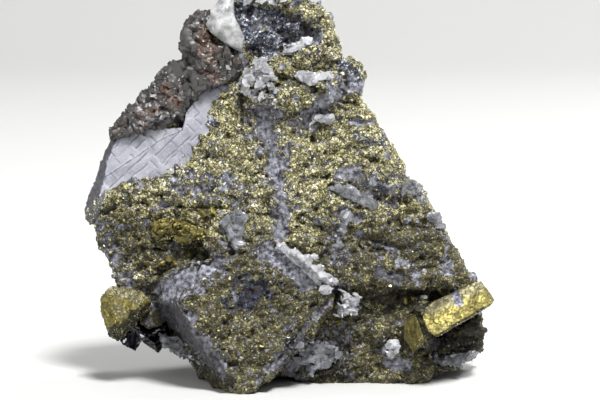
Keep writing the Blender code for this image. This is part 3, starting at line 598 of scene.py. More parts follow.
def growthTree(name, shapes, standing):     # standing shapes point their X axis away from the surface
    tree = bpy.data.node_groups.new(name, "GeometryNodeTree")
    sockets = {}
    tree.interface.new_socket("Surface", in_out="INPUT", socket_type="NodeSocketGeometry")
    for label, kind in (("Spacing", "Float"), ("Least", "Float"), ("Greatest", "Float"), ("Sunk", "Float"),
                        ("Seed", "Int"), ("Finish", "Material")):
        made = tree.interface.new_socket(label, in_out="INPUT", socket_type="NodeSocket" + kind)
        sockets[label] = made.identifier
    tree.interface.new_socket("Crystals", in_out="OUTPUT", socket_type="NodeSocketGeometry")
    add = partial(addNode, tree)
    given = add("NodeGroupInput").outputs
    cover = add("GeometryNodeInputNamedAttribute", {"Name": "cover"}, data_type="FLOAT")
    square = add("Math", {0: given["Spacing"], 1: 2.0}, operation="POWER")
    most = add("Math", {0: 3.0, 1: square}, operation="DIVIDE")
    thrown = add("GeometryNodeDistributePointsOnFaces", {
        "Mesh": given["Surface"], "Distance Min": given["Spacing"], "Density Max": most,
        "Density Factor": cover.outputs["Attribute"], "Seed": given["Seed"]},
        distribute_method="POISSON")
    reach = add("FunctionNodeRandomValue", {
        2: given["Least"], 3: given["Greatest"], "Seed": given["Seed"]}, data_type="FLOAT")
    depth = add("Math", {0: reach, 1: given["Sunk"]}, operation="MULTIPLY")
    inward = add("VectorMath", {0: thrown.outputs["Normal"], "Scale": depth}, operation="SCALE")
    sunk = add("VectorMath", {0: (0, 0, 0), 1: inward}, operation="SUBTRACT")
    settled = add("GeometryNodeSetPosition", {"Geometry": thrown.outputs["Points"], "Offset": sunk})
    tone = add("FunctionNodeRandomValue", {"Seed": 71}, data_type="FLOAT")
    toned = add("GeometryNodeStoreNamedAttribute", {"Geometry": settled, "Name": "tone", "Value": tone},
                data_type="FLOAT", domain="POINT")
    kinds = add("GeometryNodeJoinGeometry")
    for shape in shapes:
        info = add("GeometryNodeObjectInfo", {"Object": shape, "As Instance": True})
        tree.links.new(info.outputs["Geometry"], kinds.inputs[0])
    which = add("FunctionNodeRandomValue", {4: 0, 5: len(shapes) - 1, "Seed": 5}, data_type="INT")
    if standing:
        lean = add("FunctionNodeRandomValue", {
            0: (-0.6, -0.6, -0.6), 1: (0.6, 0.6, 0.6), "Seed": 6}, data_type="FLOAT_VECTOR")
        aim = add("VectorMath", {0: thrown.outputs["Normal"], 1: lean}, operation="ADD")
        roll = add("FunctionNodeRandomValue", {2: 0.0, 3: math.tau, "Seed": 9}, data_type="FLOAT")
        rolled = add("FunctionNodeAxisAngleToRotation", {"Axis": (1, 0, 0), "Angle": roll})
        aimed = add("FunctionNodeAlignRotationToVector", {"Vector": aim}, axis="X")
        turn = add("FunctionNodeRotateRotation", {"Rotation": aimed, "Rotate By": rolled},
                   rotation_space="LOCAL")
    else:
        turn = add("FunctionNodeRandomValue", {
            0: (0, 0, 0), 1: (math.tau, math.tau, math.tau), "Seed": 6}, data_type="FLOAT_VECTOR")
    stretch = add("FunctionNodeRandomValue", {
        0: (0.7, 0.7, 0.7), 1: (1.15, 1.15, 1.15), "Seed": 7}, data_type="FLOAT_VECTOR")
    size = add("VectorMath", {0: stretch, "Scale": reach}, operation="SCALE")
    grown = add("GeometryNodeInstanceOnPoints", {
        "Points": toned, "Instance": kinds, "Pick Instance": True,
        "Instance Index": which, "Rotation": turn, "Scale": size})
    real = add("GeometryNodeRealizeInstances", {0: grown})
    dressed = add("GeometryNodeSetMaterial", {"Geometry": real, "Material": given["Finish"]})
    add("NodeGroupOutput", {"Crystals": dressed})
    return tree, sockets


stubs = [stubShape(seed) for seed in range(5)]
blades = [bladeShape(seed, 0.3, 0.55, 6) for seed in range(20, 24)]
petals = [bladeShape(seed, 0.55, 0.85, 6) for seed in range(30, 34)]
stubGrowth = growthTree("stubby crystals", stubs, False)
bladeGrowth = growthTree("calcite blades", blades, True)
petalGrowth = growthTree("calcite petals", petals, True)


def growCrystals(name, surface, cover, growth, sizes, finish, slot):
    # surface is the mesh that they grow on; cover thins them out from place to place
    surface = surface.copy()
    keepField(surface, "cover", cover)
    piece = newPiece(name, surface)
    tree, sockets = growth
    modifier = piece.modifiers.new("growth", "NODES")
    modifier.node_group = tree
    values = {"Spacing": sizes["spacing"] * mm, "Least": sizes["least"] * mm,
              "Greatest": sizes["greatest"] * mm, "Sunk": sizes["sunk"], "Seed": sizes["seed"],
              "Finish": finish}
    for key, value in values.items():
        modifier[sockets[key]] = value
    settle(piece)
    spots = spotsOf(piece.data)
    if not len(spots):
        bpy.data.objects.remove(piece)
        return
    spots[:, 2] = np.maximum(spots[:, 2], 0.02 * mm)
    moveSpots(piece.data, spots)
    dress(piece, finish, slot)


# The druse of small chalcopyrite crystals

druseLook = {
    "coarse": {"spacing": 0.9, "least": 0.42, "greatest": 0.78, "sunk": 0.4, "seed": 3},
    "fine": {"spacing": 0.62, "least": 0.26, "greatest": 0.45, "sunk": 0.25, "seed": 8},
    "backCoarse": {"spacing": 1.3, "least": 0.6, "greatest": 1.05, "sunk": 0.45, "seed": 4},
    "backFine": {"spacing": 1.0, "least": 0.35, "greatest": 0.6, "sunk": 0.3, "seed": 9},
    "strays": 0.5,                  # the share of crystals that also grow, mostly grey, on bare galena
    "polishedStrays": 0.06,
    "foot": 1.0,                    # mm over the floor from where it grows
}


def druseMaterial():
    # Chalcopyrite grown as a druse: brassy metal, tarnished unevenly from crystal to crystal
    made, add, place, fields = newMaterial("chalcopyrite, grown as druse",
                                            ("tone", "thin", "blue", "dark", "olive", "hollow", "bare"))
    tone, thin, blue, dark, olive, hollow, bare = fields
    cloud = add("TexNoise", {"Vector": place, "Scale": 1 / (4.0 * mm), "Detail": 3.0})
    shift = add("MapRange", {0: cloud, 1: 0.3, 2: 0.7, 3: -0.2, 4: 0.25})
    mixed = add("Math", {0: tone, 1: shift}, operation="ADD")
    # duller where 'olive' is high: olive tarnish, and painted shade
    duller = add("Math", {0: olive, 1: -0.55, 2: mixed}, operation="MULTIPLY_ADD")
    # painted shade, with dark druse: crystals darker where 'dark' is high
    darkShaded = add("Math", {0: dark, 1: -0.4, 2: duller}, operation="MULTIPLY_ADD")
    # painted shade: crystals darker in the skin's hollows
    hollowShaded = add("Math", {0: hollow, 1: -0.8, 2: darkShaded}, operation="MULTIPLY_ADD")
    brass = add("ValToRGB", {0: hollowShaded}, stops=zip((0.0, 0.2, 0.45, 0.75, 1.0), brassTone.values()))
    lead = add("ValToRGB", {0: tone}, stops=zip((0.0, 0.5, 1.0), galenaTone.values()))
    tint = add("ValToRGB", {0: hollowShaded}, stops=tarnishAndGlintTones)
    thinShare = add("Math", {0: thin, 1: 0.35, 2: 0.12}, operation="MULTIPLY_ADD")
    greyShare = add("Math", {0: bare, 1: 0.7, 2: thinShare}, operation="MULTIPLY_ADD")
    spin = add("Math", {0: tone, 1: 37.7}, operation="MULTIPLY")
    spun = add("Math", {0: spin}, operation="FRACT")
    grey = add("Math", {0: spun, 1: greyShare}, operation="LESS_THAN")
    body = add("Mix", {0: grey, 6: brass, 7: lead}, data_type="RGBA")
    hued = add("Mix", {0: blue, 6: body, 7: tint}, data_type="RGBA")
    rough = add("MapRange", {0: spun, 1: 0.86, 2: 0.94, 3: 0.58, 4: 0.3})
    shader = add("BsdfPrincipled", {"Base Color": hued, "Metallic": 0.6, "Roughness": rough})
    add("OutputMaterial", {0: shader})
    return made


druseFinish = druseMaterial()


def growDruse(name, surface, cover, grain):
    growCrystals(name, surface, cover, stubGrowth, druseLook[grain], druseFinish, "chalcopyrite_crust")


def drusePieces():
    mesh = rock.data
    spots = spotsOf(mesh)
    across, up = acrossAndUp(spots)
    strays = druseLook["strays"] * (1 - fieldOf(mesh, "polished")) * (1 - fieldOf(mesh, "back"))
    cover = np.maximum(1 - fieldOf(mesh, "bare"), strays + druseLook["polishedStrays"])
    cover *= (1 - fieldOf(mesh, "seat")) * (1 - 0.6 * fieldOf(mesh, "calcite"))
    cover[spots[:, 2] < druseLook["foot"] * mm] = 0
    front = fieldOf(mesh, "back") < 0.5
    high, left = up > 50, across < 0
    zones = {"UpperLeft": front & high & left, "UpperRight": front & high & ~left,
             "LowerLeft": front & ~high & left, "LowerRight": front & ~high & ~left}
    for zone, inside in zones.items():
        growDruse("druseCoarse" + zone, mesh, cover * inside, "coarse")
        growDruse("druseFine" + zone, mesh, cover * inside, "fine")
    growDruse("druseCoarseBack", mesh, cover * ~front, "backCoarse")
    growDruse("druseFineBack", mesh, cover * ~front, "backFine")


drusePieces()
print("druse grown")


# The bare galena block, cleaved in steps

cleavageLook = {
    "voxel": 0.32,
    "angle": 44.0,                  # degrees from level that the long cracks climb to the right
    "strip": 2.0,                   # mean width of the steps, in mm
    "length": 5.5,                  # mean length of the steps
    "step": 0.3,                    # greatest height of a step
    "cells": 90,                    # strips, and cells in a strip: more than reach over the block
    "start": (-120, -70),           # mm along and over the strips where the first cell and strip begin
    "crack": (0.14, 0.14),          # half width and depth
    "striation": (0.6, 0.3),        # spacing and height on the flank
    "flankFacets": (3.0, 0.5),
    # Where the druse creeps over its edge, as (across, up, across, up, half width) in the front view
    "crustEdge": [(-14.5, 91.0, -22.0, 75.0, 1.6), (-22.0, 75.0, -31.0, 64.5, 1.8),
                  (-31.0, 64.5, -42.0, 57.5, 2.2), (-42.0, 57.5, -53.4, 54.5, 2.2)],
    "tip": [(-60.0, 48.0, -54.0, 54.0, 3.2), (-54.0, 54.0, -48.0, 56.0, 2.4)],      # dark like the flank
}


def cleavedCells(along, over, random):
    # brick-like cells: each spot's step, 0 to 1, and its mm to its strip's side and to its cell's end
    count = cleavageLook["cells"]
    firstCell, firstStrip = cleavageLook["start"]
    edges = np.cumsum(random.uniform(0.4, 1.6, size=count) * cleavageLook["strip"]) + firstStrip
    strip = np.searchsorted(edges, over)
    below, above = edges[np.clip(strip - 1, 0, count - 1)], edges[np.clip(strip, 0, count - 1)]
    sides = np.minimum(np.abs(over - below), np.abs(over - above))
    step, ends = np.zeros((2, len(along)))
    for index in np.unique(strip):
        inside = strip == index
        cuts = np.cumsum(random.uniform(0.4, 1.8, size=count) * cleavageLook["length"]) + firstCell
        cell = np.searchsorted(cuts, along[inside])
        step[inside] = random.uniform(0, 1, size=count + 1)[cell]
        before = np.abs(along[inside] - cuts[np.clip(cell - 1, 0, count - 1)])
        after = np.abs(along[inside] - cuts[np.clip(cell, 0, count - 1)])
        ends[inside] = np.minimum(before, after)
    return step, sides, ends


def cleavedGalena():
    piece = remeshed(mergedCopy("galena_cleavage_block", "galenaCleavageBlock"), cleavageLook["voxel"], 1)
    mesh = piece.data
    spots, normals, across, up = surfaceOf(mesh)
    turn = math.radians(cleavageLook["angle"])
    wander = 0.4 * noiseField(spots, 5.0, 40, 2)
    along = across * math.cos(turn) + up * math.sin(turn)
    over = -across * math.sin(turn) + up * math.cos(turn) + wander
    step, sides, ends = cleavedCells(along, over, np.random.default_rng(41))
    face = ramp(-normals[:, 1], 0.45, 0.65)     # 1 on its broad face, 0 on what turns away from the front
    flank = 1 - face
    broken = ramp(noiseField(spots, 5.0, 42, 2), -0.1, 0.25)
    width, depth = cleavageLook["crack"]
    crack = (1 - ramp(sides, width * 0.5, width * 2.0)) * broken
    crack = np.maximum(crack, (1 - ramp(ends, width * 0.5, width * 2.0)) * (1 - broken))
    relief = -(cleavageLook["step"] * step * (0.3 + 0.7 * broken) + depth * crack) * face
    spacing, height = cleavageLook["striation"]
    stretched = spots * (1.0, 0.12, 0.3)
    relief += height * noiseField(stretched, spacing, 43, 2) * flank
    size, height = cleavageLook["flankFacets"]
    relief += height * facetField(spots, size, 44) * flank
    pushOut(mesh, spots, normals, relief)
    shadeByAngle(mesh, 28)
    ragged = 1.3 * noiseField(spots, 2.0, 46, 3)
    edge = patches(across, up, ragged, cleavageLook["crustEdge"], 0.5)
    tip = patches(across, up, ragged, cleavageLook["tip"])
    for name, values in (("crack", crack * face), ("step", step), ("flank", np.maximum(flank, tip))):
        keepField(mesh, name, values)
    low = 1 - ramp(up, 56.0, 60.0)
    return piece, np.maximum(edge, 0.7 * tip), low * flank * ramp(noiseField(spots, 4.0, 45, 2), 0.1, 0.3)


def galenaMaterial():
    # Galena broken along its cleavage: smooth lead-grey metal with a soft, faintly speckled sheen
    made, add, place, (crack, step, flank) = newMaterial("galena, cleaved", ("crack", "step", "flank"))
    speckle = add("TexNoise", {"Vector": place, "Scale": 1 / (0.45 * mm), "Detail": 3.0})
    cloud = add("TexNoise", {"Vector": place, "Scale": 1 / (6.0 * mm), "Detail": 5.0})
    lead = add("ValToRGB", {0: cloud}, stops=[
        (0.35, "#9b9ba5"), (0.5, "#adadb7"), (0.65, "#c0c0c8")])
    pale = add("MapRange", {0: speckle, 1: 0.56, 2: 0.7, 3: 0.0, 4: 0.5})
    spotted = add("Mix", {0: pale, 6: lead, 7: hexColour("#d3d3d6")}, data_type="RGBA")
    pitted = add("MapRange", {0: speckle, 1: 0.42, 2: 0.3, 3: 0.0, 4: 0.5})
    pocked = add("Mix", {0: pitted, 6: spotted, 7: hexColour("#75757f")}, data_type="RGBA")
    stepped = add("MapRange", {0: step, 3: 0.0, 4: 0.25})
    shaded = add("Mix", {0: stepped, 6: pocked, 7: hexColour("#8b8b95")}, data_type="RGBA")
    side = add("Math", {0: flank, 1: 0.8}, operation="MULTIPLY")
    sided = add("Mix", {0: side, 6: shaded, 7: hexColour("#4e4e54")}, data_type="RGBA")
    opened = add("Math", {0: crack, 1: 0.75}, operation="MULTIPLY")
    cracked = add("Mix", {0: opened, 6: sided, 7: hexColour("#55555e")}, data_type="RGBA")
    bump = add("Bump", {"Height": speckle, "Strength": 0.3, "Distance": 0.1 * mm})
    rough = add("MapRange", {0: cloud, 3: 0.38, 4: 0.52})
    shader = add("BsdfPrincipled", {
        "Base Color": cracked, "Metallic": 0.45, "Roughness": rough, "Normal": bump})
    add("OutputMaterial", {0: shader})
    return made


galena, galenaEdge, galenaFlank = cleavedGalena()
dress(galena, galenaMaterial(), "galena", "galena_cleavage_block")
growDruse("coarseDruseOnGalena", galena.data, galenaEdge, "coarse")
growDruse("fineDruseOnGalena", galena.data, np.maximum(galenaEdge, galenaFlank), "fine")
print("galena cleaved:", len(galena.data.polygons), "quads")


# The sphalerite mass

sphaleriteLook = {
    "voxel": 0.42,
    "smoothing": 16,                # rounds off the solid's own small crystals before it is broken again
    "breaks": (4.4, 1.7),
    "chips": (1.6, 0.42),
    "lumps": (2.4, 0.12),
    "reliefLimits": (-1.2, 1.2),    # mm in and out, before the swell
    "swell": 0.3,                   # mm that the whole mass grows, for what the smoothing took off
    "rust": [(-26.0, 104.0, -24.0, 97.5, 2.8), (-45.0, 80.5, -40.0, 81.0, 1.2),
             (-24.0, 93.0, -22.0, 91.0, 1.4), (-38.0, 88.0, -34.0, 83.0, 1.6)],
    "smooth": [(-35.0, 94.0, -27.0, 87.5, 3.4), (-30.5, 102.0, -31.0, 97.0, 1.8),
               (-31.5, 104.5, -30.5, 101.0, 1.4)],
    "crystals": {"spacing": 0.9, "least": 0.22, "greatest": 0.5, "sunk": 0.4, "seed": 14},
    "crystalShare": 0.4,
}


def sphaleriteMass():
    piece = remeshed(mergedCopy("sphalerite_mass", "sphaleriteMass"), sphaleriteLook["voxel"],
                     sphaleriteLook["smoothing"])
    mesh = piece.data
    spots, normals, across, up = surfaceOf(mesh)
    ragged = noiseField(spots, 2.5, 50, 3)
    rust = patches(across, up, ragged, sphaleriteLook["rust"])
    smooth = patches(across, up, ragged, sphaleriteLook["smooth"])
    relief = sphaleriteLook["breaks"][1] * facetField(spots, sphaleriteLook["breaks"][0], 51)
    relief += sphaleriteLook["chips"][1] * facetField(spots, sphaleriteLook["chips"][0], 52) * (1 - smooth)
    relief += sphaleriteLook["lumps"][1] * noiseField(spots, sphaleriteLook["lumps"][0], 53, 2) * (1 - smooth)
    least, greatest = sphaleriteLook["reliefLimits"]
    pushOut(mesh, spots, normals, sphaleriteLook["swell"] + np.clip(relief, least, greatest))
    keepField(mesh, "rust", rust)
    keepField(mesh, "smooth", smooth)
    shadeByAngle(mesh, 18)
    grainy = ramp(noiseField(spots, 4.0, 54, 2), -0.1, 0.2) * sphaleriteLook["crystalShare"]
    return piece, (1 - smooth) * (1 - 0.7 * rust) * grainy


def sphaleriteMaterial():
    # Sphalerite: resinous and brown-black; weathered and stained with rust, it shines less than when fresh
    made, add, place, (rust, smooth, tone) = newMaterial(
        "sphalerite, resinous and rust-stained", ("rust", "smooth", "tone"))
    grain = add("TexNoise", {"Vector": place, "Scale": 1 / (0.9 * mm), "Detail": 4.0})
    cloud = add("TexNoise", {"Vector": place, "Scale": 1 / (3.5 * mm), "Detail": 4.0})
    brown = add("ValToRGB", {0: grain}, stops=[
        (0.35, "#0b0909"), (0.5, "#1a1513"), (0.62, "#2c2320"), (0.75, "#4e4038")])
    rusty = add("ValToRGB", {0: grain}, stops=[
        (0.36, "#16100e"), (0.45, "#423024"), (0.6, "#5a4033"), (0.75, "#6f5344")])
    stained = add("MapRange", {0: cloud, 1: 0.55, 2: 0.66, 3: 0.0, 4: 0.6})
    share = add("Math", {0: rust, 1: stained}, operation="MAXIMUM")
    body = add("Mix", {0: share, 6: brown, 7: rusty}, data_type="RGBA")
    slate = add("Mix", {0: smooth, 6: body, 7: hexColour("#2e2b2a")}, data_type="RGBA")
    # painted glints: pale specks on a few of the grains
    paintedGlints = add("Math", {0: tone, 1: 0.87}, operation="GREATER_THAN")
    glintSpecked = add("Mix", {0: paintedGlints, 6: slate, 7: hexColour("#c4c0ba")}, data_type="RGBA")
    glint = add("MapRange", {0: tone, 1: 0.4, 2: 0.8, 3: 0.5, 4: 0.2})
    bump = add("Bump", {"Height": grain, "Strength": 0.4, "Distance": 0.15 * mm})
    shader = add("BsdfPrincipled", {
        "Base Color": glintSpecked, "IOR": 1.9, "Roughness": glint, "Normal": bump})
    add("OutputMaterial", {0: shader})
    return made


sphalerite, sphaleriteCover = sphaleriteMass()
sphaleriteFinish = sphaleriteMaterial()
dress(sphalerite, sphaleriteFinish, "sphalerite", "sphalerite_mass")
growCrystals("sphaleriteGrains", sphalerite.data, sphaleriteCover, stubGrowth, sphaleriteLook["crystals"],
             sphaleriteFinish, "sphalerite")
print("sphalerite broken")


# The large chalcopyrite crystals and lumps

brassLook = {
    "voxel": 0.32,
    "facetSize": 1.9,
    "lumps": (3.0, 0.3),
    "crack": (3.2, 0.9),            # size of the broken blocks and depth of the cracks between them
    # node: (smoothing, dullness, facet height, share of cracks)
    "pieces": {
        "chalcopyrite_crystal_left": (1, 0.45, 0.3, 0.35),
        "chalcopyrite_crystal_right": (1, 0.4, 0.16, 0.12),
        "chalcopyrite_crystal_inner": (1, 0.7, 0.1, 0.0),
        "chalcopyrite_lumps_middle": (2, 0.5, 0.6, 0.8),
    },
    # Small brassy bits on the rock, as (across, up, radius) in the front view
    "fragments": [(-38.4, 35.4, 1.7), (-36.0, 36.6, 1.5), (-34.0, 35.2, 1.3), (-26.0, 50.4, 1.9),
                  (-23.4, 50.8, 1.6), (-21.6, 49.4, 1.3), (35.0, 24.2, 1.6), (37.0, 24.8, 1.2),
                  (12.0, 19.0, 1.0), (14.6, 17.4, 1.1), (-48.0, 38.0, 1.2), (-30.0, 37.4, 1.0),
                  (20.0, 12.6, 1.1)],
    # Patches are (across, up, across, up, half width) in the front view
    "haze": [(42.0, 22.6, 56.0, 29.4, 2.6), (-55.8, 28.5, -46.0, 25.0, 1.8), (-52.0, 22.0, -50.0, 20.0, 1.2)],
    "inclusion": [(49.7, 26.2, 50.7, 23.4, 1.2)],
    "shadow": [(-53.4, 13.2, -42.6, 22.0, 2.2), (43.5, 12.5, 58.0, 21.0, 1.2)],
    "crusted": [(-55.8, 28.5, -45.0, 24.5, 1.6), (57.0, 29.0, 60.5, 25.0, 1.0), (43.5, 12.5, 60.0, 22.5, 0.9),
                (40.4, 16.0, 39.0, 10.0, 0.8), (41.0, 24.4, 55.0, 31.0, 0.8)],
}


def brassFragments():               # each lies where the camera's ray meets the rock
    random = np.random.default_rng(67)
    shapes = []
    for across, up, radius in brassLook["fragments"]:
        place = metBy(shownFront, across, up)
        if place:
            corners = random.normal(size=(12, 3))
            corners *= radius * mm / np.linalg.norm(corners, axis=1)[:, None]
            shapes.append([place + Vector(corner) for corner in corners])
    return hullPiece("brassFragments", shapes)


def brassPiece(source, smoothing, dullness, facetHeight, cracking):
    piece = remeshed(source, brassLook["voxel"], smoothing)
    mesh = piece.data
    spots, normals, across, up = surfaceOf(mesh)
    relief = facetHeight * facetField(spots, brassLook["facetSize"], 60)
    relief += brassLook["lumps"][1] * noiseField(spots, brassLook["lumps"][0], 61, 3)
    size, depth = brassLook["crack"]
    crack = (1 - ramp(np.abs(noiseField(spots, size, 64, 2)), 0.0, 0.12)) * cracking
    relief -= depth * crack
    pushOut(mesh, spots, normals, relief)
    ragged = 0.9 * noiseField(spots, 2.0, 62, 3)
    # painted shade on the faces that turn down, and dark cracks
    under = np.maximum(ramp(-normals[:, 2], 0.2, 0.6), 0.8 * crack)
    keepField(mesh, "dull", np.full(len(spots), dullness))
    keepField(mesh, "haze", patches(across, up, ragged, brassLook["haze"], 1.0))
    keepField(mesh, "inclusion", patches(across, up, ragged * 0.3, brassLook["inclusion"], 0.2))
    keepField(mesh, "under", np.maximum(under, patches(across, up, ragged, brassLook["shadow"])))
    behind = ramp(normals[:, 1], -0.1, 0.3) * ramp(noiseField(spots, 3.0, 63, 2), -0.2, 0.1)
    crusted = np.maximum(patches(across, up, ragged, brassLook["crusted"]), np.maximum(behind, under * 0.8))
    return piece, crusted


def brassMaterial():
    # Chalcopyrite in one large crystal: brass-yellow metal, finely pitted, duller where it tarnished
    made, add, place, (dull, haze, inclusion, under) = newMaterial(
        "chalcopyrite, large crystal faces", ("dull", "haze", "inclusion", "under"))
    grain = add("TexNoise", {"Vector": place, "Scale": 1 / (0.6 * mm), "Detail": 5.0})
    cloud = add("TexNoise", {"Vector": place, "Scale": 1 / (3.0 * mm), "Detail": 4.0})
    hammer = add("TexVoronoi", {"Vector": place, "Scale": 1 / (1.5 * mm)}, feature="SMOOTH_F1")
    gold = add("ValToRGB", {0: grain}, stops=[
        (0.3, "#756b3d"), (0.5, "#8d8347"), (0.68, "#a29758"), (0.8, "#bab27c")])
    olive = add("ValToRGB", {0: grain}, stops=[
        (0.3, "#3f3a24"), (0.5, "#69623b"), (0.7, "#7f784a")])
    patchy = add("MapRange", {0: cloud, 1: 0.4, 2: 0.65, 3: -0.15, 4: 0.35})
    duller = add("Math", {0: dull, 1: patchy}, operation="ADD", use_clamp=True)
    body = add("Mix", {0: duller, 6: gold, 7: olive}, data_type="RGBA")
    veil = add("Math", {0: haze, 1: 0.75}, operation="MULTIPLY")
    veiled = add("Mix", {0: veil, 6: body, 7: hexColour("#7b7761")}, data_type="RGBA")
    shade = add("Mix", {0: under, 6: veiled, 7: hexColour("#2f2b1e")}, data_type="RGBA")
    foreign = add("Mix", {0: inclusion, 6: shade, 7: hexColour("#62626e")}, data_type="RGBA")
    rough = add("MapRange", {0: grain, 3: 0.42, 4: 0.56})
    dents = add("Bump", {"Height": hammer.outputs["Distance"], "Strength": 0.2, "Distance": 0.5 * mm})
    bump = add("Bump", {"Height": grain, "Strength": 0.25, "Distance": 0.12 * mm, "Normal": dents})
    shader = add("BsdfPrincipled", {
        "Base Color": foreign, "Metallic": 0.75, "Roughness": rough, "Normal": bump})
    add("OutputMaterial", {0: shader})
    return made


shownFront = rayTree([rock.data] + [solid.data for node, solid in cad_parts.items()
                                    if node != "crusted_rock"])
brassFinish = brassMaterial()
for node, finishing in brassLook["pieces"].items():
    piece, crusted = brassPiece(mergedCopy(node, camelName(node)), *finishing)
    dress(piece, brassFinish, "chalcopyrite", node)
    growDruse(piece.name + "Druse", piece.data, crusted, "fine")
fragments, _ = brassPiece(brassFragments(), 1, 0.2, 0.2, 0.0)
dress(fragments, brassFinish, "chalcopyrite")
print("large crystals cut")


# Dark galena cubes at the left foot

cubesLook = {
    "voxel": 0.34,
    "steps": (4.0, 0.5),            # size and height of the cleavage steps
    "chips": (1.8, 0.14),
}


def cubesMaterial():
    # Galena, untarnished: near-black metal that paints dark reflections on its cube faces, with random facets
    # painted pale as glints
    made, add, place, _ = newMaterial("galena, dark mirror cubes")
    grain = add("TexNoise", {"Vector": place, "Scale": 1 / (1.5 * mm), "Detail": 3.0})
    tone = add("ValToRGB", {0: grain}, stops=[
        (0.35, "#121216"), (0.6, "#2c2c33"), (0.75, "#6b6b75")])
    facets = add("TexVoronoi", {"Vector": place, "Scale": 1 / (2.0 * mm)})
    chance = add("SeparateColor", {0: facets.outputs["Color"]})
    # painted glints: a few random facets turn pale
    paintedFacetGlint = add("Math", {0: chance, 1: 0.8}, operation="GREATER_THAN")
    bright = add("Mix", {0: paintedFacetGlint, 6: tone, 7: hexColour("#dcdce4")}, data_type="RGBA")
    bump = add("Bump", {"Height": grain, "Strength": 0.3, "Distance": 0.15 * mm})
    shader = add("BsdfPrincipled", {
        "Base Color": bright, "Metallic": 0.95, "Roughness": 0.14, "Normal": bump})
    add("OutputMaterial", {0: shader})
    return made


def galenaCubes():
    piece = remeshed(mergedCopy("galena_cubes_foot", "galenaCubesFoot"), cubesLook["voxel"], 1)
    spots = spotsOf(piece.data)
    normals = normalsOf(piece.data)
    size, height = cubesLook["steps"]
    steps = noiseField(spots, size, 65) * 3
    relief = height * np.floor(steps) / 3
    relief += cubesLook["chips"][1] * facetField(spots, cubesLook["chips"][0], 66)
    pushOut(piece.data, spots, normals, relief)
    shadeByAngle(piece.data, 25)
    dress(piece, cubesMaterial(), "galena_dark", "galena_cubes_foot")


galenaCubes()


# Calcite

